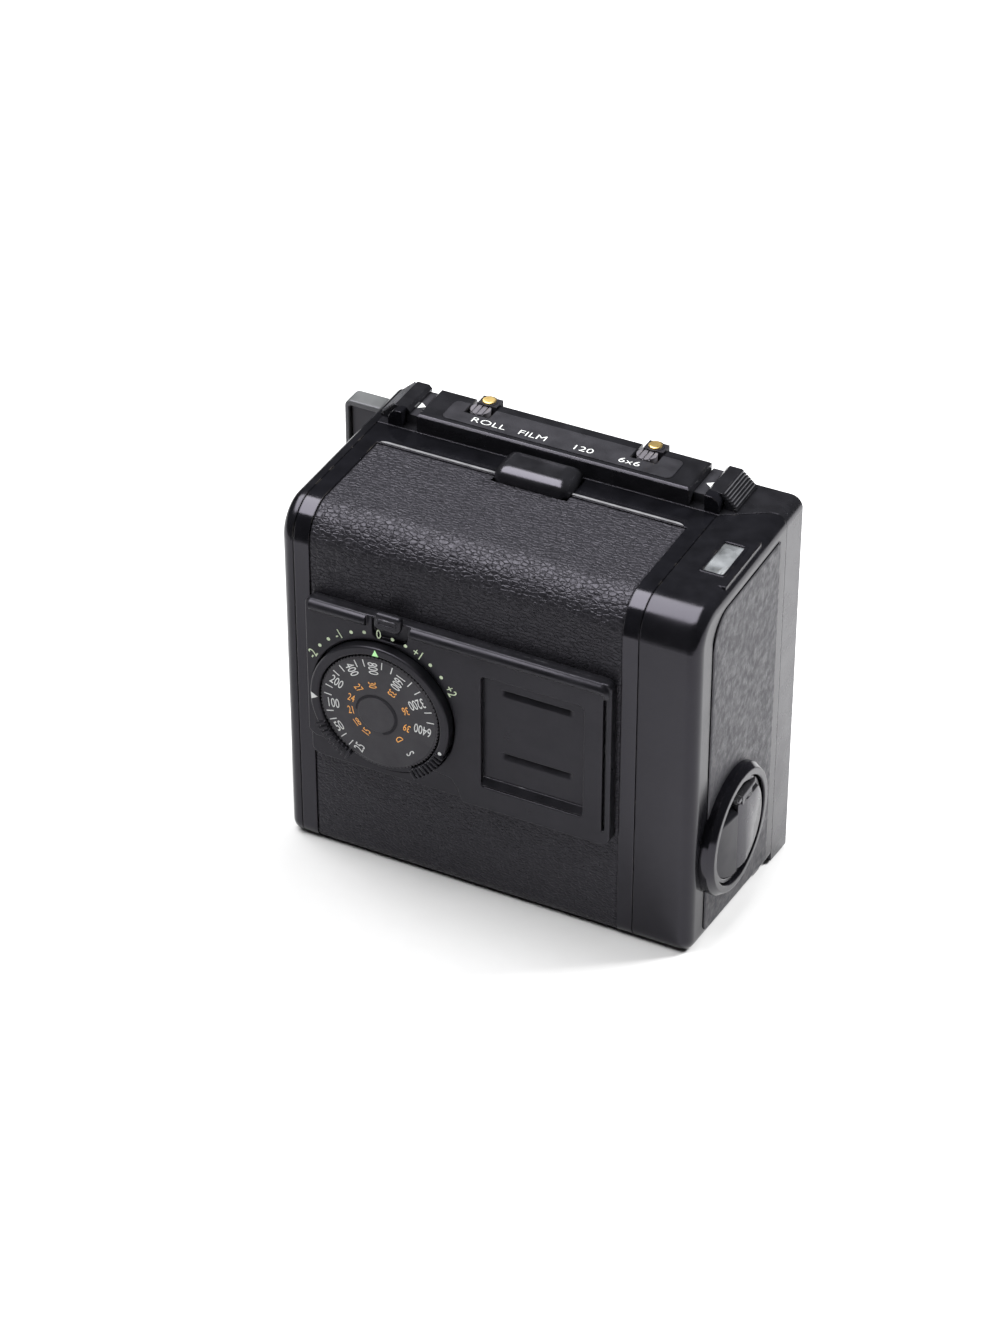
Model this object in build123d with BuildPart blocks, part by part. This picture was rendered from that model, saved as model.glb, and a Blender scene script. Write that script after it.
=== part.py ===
from build123d import *

import os
from math import atan2, cos, degrees, radians, sin, tan

os.makedirs("parts", exist_ok=True)

# Detachable 6x6 roll-film magazine for 120 film.  Millimetres.
# +X runs to the right across the dial face, -Y points at the person reading the dial,
# +Y is the face that meets the camera, +Z is up.  Heights below are counted from the
# lowest edge; the exported pieces are lowered so that the origin lies on the sloping
# bottom, in the middle of the housing in X and Y.

# ---------------------------------------------------------------- driving dimensions
half_width = 46.0
half_depth = 24.8
height = 87.8
belly_angle = 6.5                       # the bottom rises towards the rear by this angle
rear_top_radius = 7.8
rear_bottom_radius = 3.4
outer_edge = 2.6                        # rounding of the outer vertical and top edges
gap = 0.2                               # split line between neighbouring shells

wall = 1.6                              # shell thickness
side_wall = 3.0                         # thickness of the left wall
gear_x = 33.4                           # where the gear housing starts
front_y = 16.9                          # rear face of the front frame
shelf_y = 11.3                          # rear edge of the frame's top shelf
shelf_height = 2.6

gate_x = -3.8                           # centre of the picture gate
gate_z = 44.0
gate_size = 56.0
blade_y = 21.0                          # middle plane of the dark slide
blade_height = 64.0
blade_thickness = 0.6

cover_left = -half_width + side_wall + gap
cover_right = gear_x - gap
rim = 3.4                               # glossy rims beside the leather
leather = 0.7
hinge_y = -half_depth + 3.8
hinge_z = 9.6
hinge_pin_radius = 0.9
hinge_barrel = 2.1

dial_x = -21.9
dial_z = 47.2
dial_radius = 13.5
ring_radius = 15.8
plate_y = -27.2                         # outer face of the dial plate
tier_y = -26.0                          # outer face of the plate's lower tier
ring_y = -29.1
disc_y = -28.8

spool_y = -7.2
lower_spool_z = 27.0
upper_spool_z = 66.0
spool_length = 64.6
flange_radius = 12.4
core_radius = 5.6

crank_x = half_width + 3.0              # rim plane of the crank collar
collar_radius = 14.2
knob_radius = 11.4

block_x = (-34.0, 26.9)
block_y = (11.45, 22.6)
block_top = 91.9
plate_top = 89.9                        # latch guide plates
contact_x = (-22.6, 14.8)
latch_travel = 2.2

gear_module = 1.0
gear_plane = 37.0                       # start of the gears along X
gear_width = 2.4


def belly(y):
    """Height of the sloping bottom at depth y."""
    return (half_depth - y) * tan(radians(belly_angle))


def box(x, y, z, mode=Mode.ADD):
    """A box between two limits on each axis, in the open part."""
    centre = [(low + high) / 2 for low, high in (x, y, z)]
    sides = [high - low for low, high in (x, y, z)]
    with Locations(tuple(centre)):
        Box(*sides, mode=mode)


def rod(start, direction, radius, length, mode=Mode.ADD):
    """A round bar from a start point along a direction, in the open part."""
    with BuildSketch(Plane(origin=start, z_dir=direction)) as section:
        Circle(radius)
    extrude(section.sketch, amount=length, mode=mode)


def side_outline(inset, front):
    """Side view of the housing (Y to the right, Z up), drawn in the open sketch."""
    back = inset - half_depth
    Polygon(
        (front, belly(front) + inset),
        (front, height - inset),
        (back, height - inset),
        (back, belly(back) + inset),
        align=None,
    )
    corners = vertices().group_by(Axis.X)[0].sort_by(Axis.Y)
    fillet(corners[0], rear_bottom_radius - min(inset, 2.4))
    fillet(vertices().group_by(Axis.X)[0].sort_by(Axis.Y)[-1], rear_top_radius - inset)


def side_slab(x, inset=0.0, front=half_depth, mode=Mode.ADD):
    """The side outline given thickness between two X values, in the open part."""
    with BuildSketch(Plane.YZ.offset(x[0])) as section:
        side_outline(inset, front)
    extrude(section.sketch, amount=x[1] - x[0], mode=mode)


# ------------------------------------------------------------------ gear train layout
def meshed(teeth_a, y, z, phase_a, teeth_b, angle):
    """Centre and phase of wheel b that meshes with wheel a in the given direction."""
    distance = gear_module * (teeth_a + teeth_b) / 2
    phase_b = angle + 180 + 180 / teeth_b - (phase_a - angle) * teeth_a / teeth_b
    return y + distance * cos(radians(angle)), z + distance * sin(radians(angle)), phase_b


teeth = {"takeup": 16, "idler": 12, "camera": 12, "transfer": 31, "counter": 15}
arbor = 1.2
idler_y, idler_z, idler_phase = meshed(teeth["takeup"], spool_y, lower_spool_z, 0.0,
                                       teeth["idler"], 20.0)
drive_y, drive_z, drive_phase = meshed(teeth["idler"], idler_y, idler_z, idler_phase,
                                       teeth["camera"], -4.0)
turn_y, turn_z, turn_phase = meshed(teeth["idler"], idler_y, idler_z, idler_phase,
                                    teeth["transfer"], 109.4)
count_y, count_z, count_phase = meshed(teeth["transfer"], turn_y, turn_z, turn_phase,
                                       teeth["counter"], 92.2)

# ------------------------------------------------------------------------- left wall
slot_height = blade_height + 1.0
with BuildPart() as left_wall:
    side_slab((-half_width, -half_width + side_wall))
    outer = edges().filter_by(lambda e: abs(e.center().X + half_width) < 0.01)
    fillet(outer.filter_by(lambda e: abs(e.center().Y - half_depth) > 0.1), outer_edge - 0.2)
    box((-half_width - 1, 0), (blade_y - 0.6, blade_y + 0.6),
        (gate_z - slot_height / 2, gate_z + slot_height / 2), mode=Mode.SUBTRACT)
    rod((-half_width + 1.3, hinge_y, hinge_z), (1, 0, 0), hinge_pin_radius, 4,
        mode=Mode.SUBTRACT)

# ------------------------------------------------------------------------ front frame
frame_left = -half_width + side_wall
shelf = (height - shelf_height, height)
lug_x = (-30.0, 22.4)
with BuildPart() as front_frame:
    box((frame_left, half_width), (front_y, half_depth), (0.0, height))
    with BuildSketch(Plane.XY.offset(shelf[0])):
        Polygon((frame_left, front_y), (frame_left, shelf_y), (gear_x + 0.3, shelf_y),
                (42.6, front_y), align=None)
    extrude(amount=shelf_height)
    with BuildSketch(Plane.YZ.offset(frame_left)):
        Polygon((front_y, -1), (half_depth, -1), (half_depth, 0), (front_y, belly(front_y)),
                align=None)
    extrude(amount=half_width - frame_left, mode=Mode.SUBTRACT)
    right_edges = edges().filter_by(lambda e: abs(e.center().X - half_width) < 0.01)
    fillet(right_edges.filter_by(Axis.Y), outer_edge)
    # picture gate with bevelled front mouth
    with BuildSketch(Plane.XZ.offset(-front_y)):
        with Locations((gate_x, gate_z)):
            Rectangle(gate_size, gate_size)
    extrude(amount=-(half_depth - front_y), mode=Mode.SUBTRACT)
    # slot of the dark slide, open to the left
    box((frame_left - 1, gate_x + 34.4), (blade_y - 0.5, blade_y + 0.5),
        (gate_z - slot_height / 2, gate_z + slot_height / 2), mode=Mode.SUBTRACT)
    # groove of the light seal around the gate
    with BuildSketch(Plane.XZ.offset(-half_depth)):
        with Locations((gate_x, gate_z)):
            RectangleRounded(gate_size + 12, gate_size + 12, 3)
            RectangleRounded(gate_size + 6, gate_size + 6, 2, mode=Mode.SUBTRACT)
    extrude(amount=1.2, mode=Mode.SUBTRACT)
    # pocket for the camera drive gear
    box((gear_plane - 0.6, gear_plane + gear_width + 0.6), (front_y - 1, half_depth + 1),
        (23.8, 38.0), mode=Mode.SUBTRACT)
    rod((35.3, drive_y, drive_z), (1, 0, 0), arbor, 6, mode=Mode.SUBTRACT)
    # seat of the slide seal
    box((-41.4, -37.6), (blade_y + 0.4, blade_y + 1.3),
        (gate_z - slot_height / 2, gate_z + slot_height / 2), mode=Mode.SUBTRACT)
    # pockets of the two hook plates that catch the camera's lower hooks
    for x in lug_x:
        box((x - 4.2, x + 4.2), (half_depth - 3.0, half_depth + 1), (2.6, 8.2),
            mode=Mode.SUBTRACT)
    # seats of the four frame screws
    with Locations(Plane.XZ.offset(-half_depth)):
        with Locations(*[(x, z) for x in (-39.6, 30.6) for z in (6.0, 80.6)]):
            CounterBoreHole(radius=1.05, counter_bore_radius=2.1, counter_bore_depth=1.5, depth=5.5)

# ------------------------------------------------------- gear housing and its partition
shell_front = front_y - 0.1
window_x = (38.5, 43.1)
window_y = (-7.6, 3.3)
with BuildPart() as gear_housing:
    side_slab((gear_x, half_width), front=shell_front)
    rounded = edges().filter_by(lambda e: abs(e.center().X - half_width) < 0.01)
    fillet(rounded.filter_by(lambda e: abs(e.center().Y - shell_front) > 0.1), outer_edge)
    # squared boss beside the counter window
    box((41.0, 45.2), (-11.0, 6.0), (83.0, height))
    side_slab((gear_x - 1, half_width - wall), inset=wall, front=shell_front + 1,
              mode=Mode.SUBTRACT)
    # the top stops at the frame's slanting shelf
    with BuildSketch(Plane.XY.offset(height - 5)):
        Polygon((gear_x - 2, shelf_y - 0.1), (gear_x + 0.3, shelf_y - 0.1),
                (42.7, front_y - 0.15), (42.7, front_y + 2), (gear_x - 2, front_y + 2),
                align=None)
    extrude(amount=6, mode=Mode.SUBTRACT)
    # window opening
    box(window_x, window_y, (80.0, height + 1), mode=Mode.SUBTRACT)
    # opening for the knob shaft
    rod((half_width - 4, spool_y, lower_spool_z), (1, 0, 0), knob_radius + 0.3, 6,
        mode=Mode.SUBTRACT)

with BuildPart() as gear_plate:
    side_slab((gear_x + 0.6, gear_x + 1.8), inset=wall + 0.1, front=shell_front - 0.1)
    box((gear_x, gear_x + 2), (shelf_y - 1.2, front_y), (82.0, height), mode=Mode.SUBTRACT)
    rod((gear_x - 1, spool_y, lower_spool_z), (1, 0, 0), 2.05, 6, mode=Mode.SUBTRACT)
    rod((gear_x - 1, hinge_y, hinge_z), (1, 0, 0), hinge_pin_radius, 6, mode=Mode.SUBTRACT)

with BuildPart() as bottom_plate:
    with BuildSketch(Plane.YZ.offset(cover_left)):
        Polygon((-16.6, belly(-16.6)), (front_y - 0.05, belly(front_y)),
                (front_y - 0.05, belly(front_y) + 1.8), (-16.6, belly(-16.6) + 1.8),
                align=None)
    extrude(amount=gear_x - 0.05 - cover_left)

# ------------------------------------------------------------------ outer body details
panel_front = 13.7
with BuildPart() as side_leatherette:
    with BuildSketch(Plane.YZ.offset(half_width + 0.02)):
        Polygon((-18.0, belly(-18.0) + 2.4), (panel_front, belly(panel_front) + 2.4),
                (panel_front, 84.0), (-18.0, 84.0), align=None)
        fillet(vertices().group_by(Axis.X)[0].sort_by(Axis.Y)[-1], 6.5)
        fillet(vertices().group_by(Axis.X)[0].sort_by(Axis.Y)[0], 1.6)
        with Locations((spool_y, lower_spool_z)):
            Circle(collar_radius + 0.15, mode=Mode.SUBTRACT)
    extrude(amount=0.35)

with BuildPart() as counter_window:
    box((window_x[0] + 0.05, window_x[1] - 0.05), (window_y[0] + 0.05, window_y[1] - 0.05),
        (height - 1.5, height - 0.25))

with BuildPart() as crank_collar:
    with BuildSketch(Plane.YZ.offset(half_width + 0.02)):
        with Locations((spool_y, lower_spool_z)):
            Circle(collar_radius)
            Circle(knob_radius + 0.3, mode=Mode.SUBTRACT)
    extrude(amount=crank_x - half_width - 0.02)
    chamfer(faces().sort_by(Axis.X)[-1].edges().sort_by(SortBy.LENGTH)[-1], 1.3, 1.0)
    fillet(edges().filter_by(GeomType.CIRCLE).filter_by(
        lambda e: abs(e.center().X - crank_x) < 0.01), 0.3)

with BuildPart() as nameplate_block:
    box(block_x, block_y, (height + 0.02, block_top))
    chamfer(faces().sort_by(Axis.Z)[-1].edges(), 0.4)
    for x in contact_x:
        box((x - 3.1, x + 2.5), (16.6, block_y[1] + 1), (90.2, block_top + 1), mode=Mode.SUBTRACT)
        rod((x, 21.8, height - 1), (0, 0, 1), 1.25, 6, mode=Mode.SUBTRACT)

with BuildPart() as nameplate_inlay:
    with BuildSketch(Plane.XY.offset(block_top + 0.01)):
        with Locations((-3.5, 16.4)):
            RectangleRounded(51.4, 7.0, 1.3)
        for x in contact_x:
            with Locations((x - 0.3, 20.0)):
                Rectangle(5.8, 7.0, mode=Mode.SUBTRACT)
    extrude(amount=0.15)

with BuildPart() as contact_blocks:
    for x in contact_x:
        box((x - 2.0, x + 2.4), (20.2, 23.4), (90.25, 92.5))
        rod((x, 21.8, 89), (0, 0, 1), 1.25, 4, mode=Mode.SUBTRACT)

with BuildPart() as contact_bases:
    for x in contact_x:
        with BuildSketch(Plane.XY.offset(90.25)):
            with Locations((x - 0.5, 18.9)):
                Circle(2.15)
            with Locations((x - 0.5, 21.9)):
                Rectangle(6, 3.5, mode=Mode.SUBTRACT)
        extrude(amount=2.0)
        for step in (-1, 0, 1):
            box((x - 0.65 + 1.2 * step, x - 0.35 + 1.2 * step), (16.0, 20.5), (91.9, 92.5),
                mode=Mode.SUBTRACT)

guide_x = ((block_x[0] - 4.4, block_x[0] - 0.05), (block_x[1] + 0.05, block_x[1] + 4.4))
with BuildPart() as latch_plates:
    for x in guide_x:
        box(x, (13.8, 23.4), (height + 0.02, plate_top))

with BuildPart() as base_feet:
    for x in (-half_width + 1.5, half_width - 2.4):
        with BuildSketch(Plane.YZ.offset(x - 1.2)):
            Polygon((10.0, belly(10.0) - 0.02), (14.0, belly(14.0) - 0.02),
                    (13.4, belly(13.4) - 0.6), (10.6, belly(10.6) - 0.6), align=None)
        extrude(amount=2.4)

with BuildPart() as mount_lugs:
    for x in lug_x:
        box((x - 4.1, x + 4.1), (half_depth - 2.95, half_depth - 0.2), (2.7, 8.1))
        box((x - 3.0, x + 3.0), (half_depth - 2.2, half_depth), (3.8, 7.0), mode=Mode.SUBTRACT)
        box((x - 3.0, x + 3.0), (half_depth - 1.2, half_depth), (2.6, 7.0), mode=Mode.SUBTRACT)

with BuildPart() as frame_screws:
    for x in (-39.6, 30.6):
        for z in (6.0, 80.6):
            rod((x, half_depth - 1.45, z), (0, 1, 0), 2.0, 1.0)
            rod((x, half_depth - 5.2, z), (0, 1, 0), 1.0, 4.0)
            box((x - 1.6, x + 1.6), (half_depth - 0.85, half_depth), (z - 0.25, z + 0.25),
                mode=Mode.SUBTRACT)
            box((x - 0.25, x + 0.25), (half_depth - 0.85, half_depth), (z - 1.6, z + 1.6),
                mode=Mode.SUBTRACT)

with BuildPart() as gate_seal:
    with BuildSketch(Plane.XZ.offset(-half_depth)):
        with Locations((gate_x, gate_z)):
            RectangleRounded(gate_size + 11.6, gate_size + 11.6, 2.8)
            RectangleRounded(gate_size + 6.4, gate_size + 6.4, 2.2, mode=Mode.SUBTRACT)
    extrude(amount=1.15)

# ------------------------------------------------------------------------- rear cover
mid_x = (cover_left + cover_right) / 2
leather_x = (cover_left + rim, cover_right - rim)
leather_front = 4.4
leather_sunk = 0.12                     # the leather lies this far below the rims
shell = leather + 1.8                   # thickness of the cover under its rims
lip_y = -18.1                           # front end of the cover's lower lip
button_x = (-12.3, 4.3)
button_y = (2.5, 11.0)
button_top = 90.9
barrel_x = ((-41.0, -31.0), (-9.0, 1.0), (21.0, 31.0))

with BuildPart() as rear_cover:
    side_slab((cover_left, cover_right), front=shelf_y - 0.1)
    side_slab(leather_x, front=leather_front, mode=Mode.SUBTRACT)
    side_slab(leather_x, inset=leather, front=leather_front)
    side_slab((cover_left + wall, cover_right - wall), inset=shell, front=shelf_y + 1,
              mode=Mode.SUBTRACT)
    # open in front: the side flanges and the lower lip reach only a little way forward
    box((cover_left - 1, cover_right + 1), (-16.0, shelf_y + 1), (-1, height - 6),
        mode=Mode.SUBTRACT)
    box((cover_left - 1, cover_right + 1), (lip_y, shelf_y + 1), (-1, 14.0), mode=Mode.SUBTRACT)
    # hinge barrels, carried by the rear wall
    for x in barrel_x:
        rod((x[0], hinge_y, hinge_z), (1, 0, 0), hinge_barrel, x[1] - x[0])
    rod((cover_left - 1, hinge_y, hinge_z), (1, 0, 0), hinge_pin_radius + 0.06, 80,
        mode=Mode.SUBTRACT)
    # thickened seat and well of the release button
    box((button_x[0] - 2, button_x[1] + 2), (1.0, shelf_y - 0.1), (83.4, 86.2))
    box((button_x[0] - 0.25, button_x[1] + 0.25), (button_y[0] - 0.25, shelf_y),
        (86.2, height + 1), mode=Mode.SUBTRACT)
    box((-7.2, -0.8), (6.0, 9.0), (80, 88), mode=Mode.SUBTRACT)

with BuildPart() as cover_leather:
    skin_x = (leather_x[0] + 0.03, leather_x[1] - 0.03)
    side_slab(skin_x, inset=leather_sunk, front=leather_front - 0.03)
    side_slab(skin_x, inset=leather - 0.01, front=leather_front + 1, mode=Mode.SUBTRACT)
    box((cover_left, cover_right), (lip_y, 6.0), (-1, 14.0), mode=Mode.SUBTRACT)
    box((button_x[0] - 0.25, button_x[1] + 0.25), (button_y[0] - 0.25, 6), (80, height + 1),
        mode=Mode.SUBTRACT)

with BuildPart() as cover_trim:
    with BuildSketch(Plane.XY.offset(height + 0.01)):
        trim_width = leather_x[1] - leather_x[0]
        with Locations((mid_x, 0.1)):
            RectangleRounded(trim_width, 10, 2.2)
            RectangleRounded(trim_width - 1.1, 8.9, 1.7, mode=Mode.SUBTRACT)
        with Locations((mid_x, -2.0)):
            Rectangle(trim_width + 2, 10, mode=Mode.SUBTRACT)
        with Locations(((button_x[0] + button_x[1]) / 2, 4)):
            Rectangle(button_x[1] - button_x[0] + 0.6, 4, mode=Mode.SUBTRACT)
    extrude(amount=0.22)
    box(leather_x, (0.0, leather_front + 0.1), (height - 1, height + 1), mode=Mode.SUBTRACT)

with BuildPart() as hinge_pin:
    rod((-half_width + 1.4, hinge_y, hinge_z), (1, 0, 0), hinge_pin_radius,
        gear_x + 1.8 + half_width - 1.4)

# ------------------------------------------------------------- dial plate on the cover
plate_x = (-39.3, 28.9)
plate_z = (29.5, 69.4)
step_z = 35.2
step_x = -5.0
plate_back = -half_depth + leather_sunk - 0.02
memo_x = (0.2, 22.9)
memo_z = (36.9, 62.3)
bead = 1.35
lock_x = (-22.9, -17.1)
lock_z = (66.2, 71.5)

with BuildPart() as dial_plate:
    with BuildSketch(Plane.XZ.offset(-plate_back)):
        Polygon((plate_x[0], plate_z[0]), (plate_x[1], plate_z[0]), (plate_x[1], plate_z[1]),
                (plate_x[0], plate_z[1]), align=None)
        fillet(vertices(), 1.6)
    extrude(amount=plate_back - tier_y)
    with BuildSketch(Plane.XZ.offset(-tier_y)):
        Polygon((plate_x[0], step_z), (step_x - 1.6, step_z), (step_x + 1.0, plate_z[0]),
                (plate_x[1], plate_z[0]), (plate_x[1], plate_z[1]), (plate_x[0], plate_z[1]),
                align=None)
        fillet(vertices(), 1.6)
    extrude(amount=tier_y - plate_y)
    # bead along the top edge
    rod((plate_x[0] + bead, plate_y, plate_z[1] - bead), (1, 0, 0), bead,
        plate_x[1] - plate_x[0] - 2 * bead)
    with Locations(*[(x, plate_y, plate_z[1] - bead)
                     for x in (plate_x[0] + bead, plate_x[1] - bead)]):
        Sphere(bead)
    # well of the dial
    with BuildSketch(Plane.XZ.offset(-tier_y)):
        with Locations((dial_x, dial_z)):
            Circle(ring_radius + 0.35)
    extrude(amount=6, mode=Mode.SUBTRACT)
    # window of the memo holder and the card slot behind it, open to the right
    box(memo_x, (plate_y - 1, -25.6), memo_z, mode=Mode.SUBTRACT)
    box((memo_x[0] - 1.5, plate_x[1] + 1), (-26.3, -25.6), (33.0, 65.6), mode=Mode.SUBTRACT)
    box((plate_x[1] - 1.4, plate_x[1] + 1), (plate_y - 1, -25.6), (33.0, 65.6),
        mode=Mode.SUBTRACT)
    # seat of the lock button
    box((lock_x[0] - 0.2, lock_x[1] + 0.2), (-30, -25.3), (lock_z[0] - 0.3, plate_z[1] + 1),
        mode=Mode.SUBTRACT)

with BuildPart() as memo_pad:
    box((memo_x[0] - 1.2, memo_x[1] + 1.2), (-25.95, -25.65), (memo_z[0] - 1.2, memo_z[1] + 1.2))
    for z in (42.8, 58.2):
        box((4.6, 19.8), (-26.25, -25.9), (z - 0.35, z + 0.35))

with BuildPart() as dial_pivot:
    rod((dial_x, tier_y, dial_z), (0, -1, 0), 1.95, tier_y - disc_y)

grip_ribs = 8
with BuildPart() as compensation_ring:
    with BuildSketch(Plane.XZ.offset(-tier_y + 0.05)):
        with Locations((dial_x, dial_z)):
            Circle(ring_radius)
            Circle(2.0, mode=Mode.SUBTRACT)
    extrude(amount=0.6)
    with BuildSketch(Plane.XZ.offset(-tier_y + 0.65)):
        with Locations((dial_x, dial_z)):
            Circle(ring_radius)
            Circle(dial_radius + 0.15, mode=Mode.SUBTRACT)
        Polygon((dial_x, dial_z),
                (dial_x + 30 * cos(radians(-62)), dial_z + 30 * sin(radians(-62))),
                (dial_x, dial_z - 40),
                (dial_x + 30 * cos(radians(-118)), dial_z + 30 * sin(radians(-118))),
                align=None, mode=Mode.SUBTRACT)
    extrude(amount=tier_y - 0.65 - ring_y)
    with BuildSketch(Plane.XZ.offset(-tier_y + 0.9)) as notches:
        for start in (-60, -154):
            with Locations((dial_x, dial_z)):
                with PolarLocations(ring_radius + 0.1, grip_ribs, start, 36, endpoint=True):
                    Rectangle(1.6, 0.7)
    extrude(amount=5, mode=Mode.SUBTRACT)

with BuildPart() as film_speed_disc:
    with BuildSketch(Plane.XZ.offset(-tier_y + 0.7)):
        with Locations((dial_x, dial_z)):
            Circle(dial_radius)
            Circle(2.0, mode=Mode.SUBTRACT)
    extrude(amount=tier_y - 0.7 - disc_y)
    chamfer(faces().sort_by(Axis.Y)[0].edges().sort_by(SortBy.LENGTH)[-1], 0.35)

with BuildPart() as dial_hub_cap:
    rod((dial_x - 0.6, disc_y - 0.02, dial_z - 0.8), (0, -1, 0), 4.3, 0.25)

with BuildPart() as lock_button:
    box(lock_x, (-29.5, -26.2), lock_z)
    fillet(edges().filter_by(Axis.Y), 0.9)
    chamfer(faces().sort_by(Axis.Y)[0].edges(), 0.3)

# ------------------------------------------------------------------ buttons and latches
with BuildPart() as cover_release_button:
    box(button_x, button_y, (height + 0.1, button_top))
    fillet(edges().filter_by(Axis.Z).sort_by(Axis.Y)[:2], 2.2)
    fillet(faces().sort_by(Axis.Z)[-1].edges(), 1.1)

with BuildPart() as cover_catch:
    box((-6.9, -1.1), (6.3, 8.7), (81.4, height + 0.08))
    box((-6.9, -1.1), (6.3, 12.6), (81.4, 82.8))


block_mid = (block_x[0] + block_x[1]) / 2
latch_far = 40.0                        # outer toe of a latch from the middle of the block
toe_z = height + 0.12
hump_z = block_top - 0.6


def latch(side):
    """A finger latch: hump with a ribbed slope; side is +1 on the right, -1 on the left."""
    heel = block_mid + side * 33.2
    step = block_mid + side * 37.3
    brow = block_mid + side * 36.6
    toe = block_mid + side * latch_far
    with BuildPart() as slider:
        with BuildSketch(Plane.XZ.offset(-23.72)):
            Polygon((heel, plate_top + 0.06), (heel, hump_z - 0.7), (heel + side * 0.7, hump_z),
                    (brow, hump_z), (toe, toe_z + 0.3), (toe, toe_z), (step, toe_z),
                    (step, plate_top + 0.06), align=None)
        extrude(amount=10.0)
        slope = Plane(origin=((brow + toe) / 2, 18.85, (hump_z + toe_z + 0.3) / 2),
                      x_dir=(0, 1, 0),
                      z_dir=(side * (hump_z - toe_z - 0.3), 0, abs(toe - brow)))
        with BuildSketch(slope):
            with GridLocations(1, 0.68, 1, 6):
                Rectangle(11, 0.26)
        extrude(amount=-0.35, mode=Mode.SUBTRACT)
    return slider


def latch_hook(side):
    """Rear lug of a latch with a round shoulder."""
    near = block_mid + side * 33.9
    far = block_mid + side * 37.0
    with BuildPart() as hook:
        with BuildSketch(Plane.XZ.offset(-13.72)):
            Polygon((near, toe_z), (far, toe_z), (far, hump_z + 0.2), (near, hump_z + 0.2),
                    align=None)
            outside = vertices().sort_by_distance((far, hump_z + 0.2, 0))[0]
            fillet(outside, 2.2)
        extrude(amount=2.35)
    return hook


release_latch_right = latch(1)
release_latch_left = latch(-1)
latch_hook_right = latch_hook(1)
latch_hook_left = latch_hook(-1)


def contact_pin(x):
    """A sprung contact with a domed head."""
    with BuildPart() as pin:
        rod((x, 21.8, 89.0), (0, 0, 1), 1.2, 3.9)
        fillet(faces().sort_by(Axis.Z)[-1].edges(), 0.5)
    return pin


contact_pin_left = contact_pin(contact_x[0])
contact_pin_right = contact_pin(contact_x[1])

# ------------------------------------------------------------------------- dark slide
handle_x = (-54.8, -half_width - 0.25)
handle_y = (18.7, 23.3)
handle_z = (45.6, 84.9)
with BuildPart() as dark_slide_blade:
    box((handle_x[1], gate_x + 32), (blade_y - blade_thickness / 2, blade_y + blade_thickness / 2),
        (gate_z - blade_height / 2, gate_z + blade_height / 2))
    fillet(edges().filter_by(Axis.Y).sort_by(Axis.X)[-2:], 2.0)

with BuildPart() as dark_slide_handle:
    box(handle_x, handle_y, handle_z)
    fillet(edges().filter_by(Axis.Y).sort_by(Axis.X)[:2], 1.5)
    fillet(faces().sort_by(Axis.X)[0].edges().filter_by(Axis.Z), 0.8)
    box((handle_x[0] + 1.5, handle_x[1] + 1), (handle_y[0] - 1, handle_y[0] + 0.9),
        (handle_z[0] + 1.4, handle_z[1] - 1.2), mode=Mode.SUBTRACT)
    box((handle_x[1] - 1.6, handle_x[1] + 1),
        (blade_y - blade_thickness / 2 - 0.01, blade_y + blade_thickness / 2 + 0.01),
        (handle_z[0] - 1, gate_z + blade_height / 2 + 0.1), mode=Mode.SUBTRACT)

with BuildPart() as slide_seal:
    box((-41.4, -37.6), (blade_y + 0.4, blade_y + 1.3),
        (gate_z - slot_height / 2, gate_z + slot_height / 2))

# --------------------------------------------------------------- winding knob and crank
rim_x = crank_x - 0.8
pin_z = lower_spool_z + 7.6
pin_x = crank_x - 1.1
with BuildPart() as winding_knob:
    rod((44.6, spool_y, lower_spool_z), (1, 0, 0), knob_radius - 0.1, 1.8)
    with BuildSketch(Plane.YZ.offset(46.4)):
        with Locations((spool_y, lower_spool_z)):
            Circle(knob_radius - 0.1)
            Circle(knob_radius - 0.9, mode=Mode.SUBTRACT)
    extrude(amount=rim_x - 46.4)
    for y in (spool_y - 0.5, spool_y + 6.1):
        box((46.4, pin_x), (y - 0.7, y + 0.7), (pin_z - 0.95, pin_z + 0.95))
        rod((pin_x, y - 0.7, pin_z), (0, 1, 0), 0.98, 1.4)
    rod((pin_x, spool_y - 2, pin_z), (0, 1, 0), 0.75, 10, mode=Mode.SUBTRACT)

with BuildPart() as crank_pin:
    rod((pin_x, spool_y - 1.1, pin_z), (0, 1, 0), 0.74, 7.8)

with BuildPart() as crank_handle:
    with BuildSketch(Plane.YZ.offset(46.6)):
        with Locations((spool_y, lower_spool_z)):
            Circle(knob_radius - 1.2)
            with Locations((-15.6, 0)):
                Rectangle(30, 30, mode=Mode.SUBTRACT)
            with Locations((0, 13.0)):
                Rectangle(30, 13, mode=Mode.SUBTRACT)
    extrude(amount=crank_x + 0.2 - 46.6)
    fillet(edges().filter_by(lambda e: abs(e.center().X - crank_x - 0.2) < 0.01), 0.35)
    box((pin_x - 1.1, pin_x + 1.1), (spool_y + 0.4, spool_y + 5.2), (lower_spool_z + 6.0, pin_z))
    rod((pin_x, spool_y + 0.4, pin_z), (0, 1, 0), 1.1, 4.8)
    rod((pin_x, spool_y - 2, pin_z), (0, 1, 0), 0.79, 10, mode=Mode.SUBTRACT)

with BuildPart() as knob_shaft:
    rod((30.7, spool_y, lower_spool_z), (1, 0, 0), 1.98, 44.6 - 30.7)
    # key that turns the take-up spool
    box((26.4, 30.7), (spool_y - 2.4, spool_y + 2.4), (lower_spool_z - 0.6, lower_spool_z + 0.6))


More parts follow.
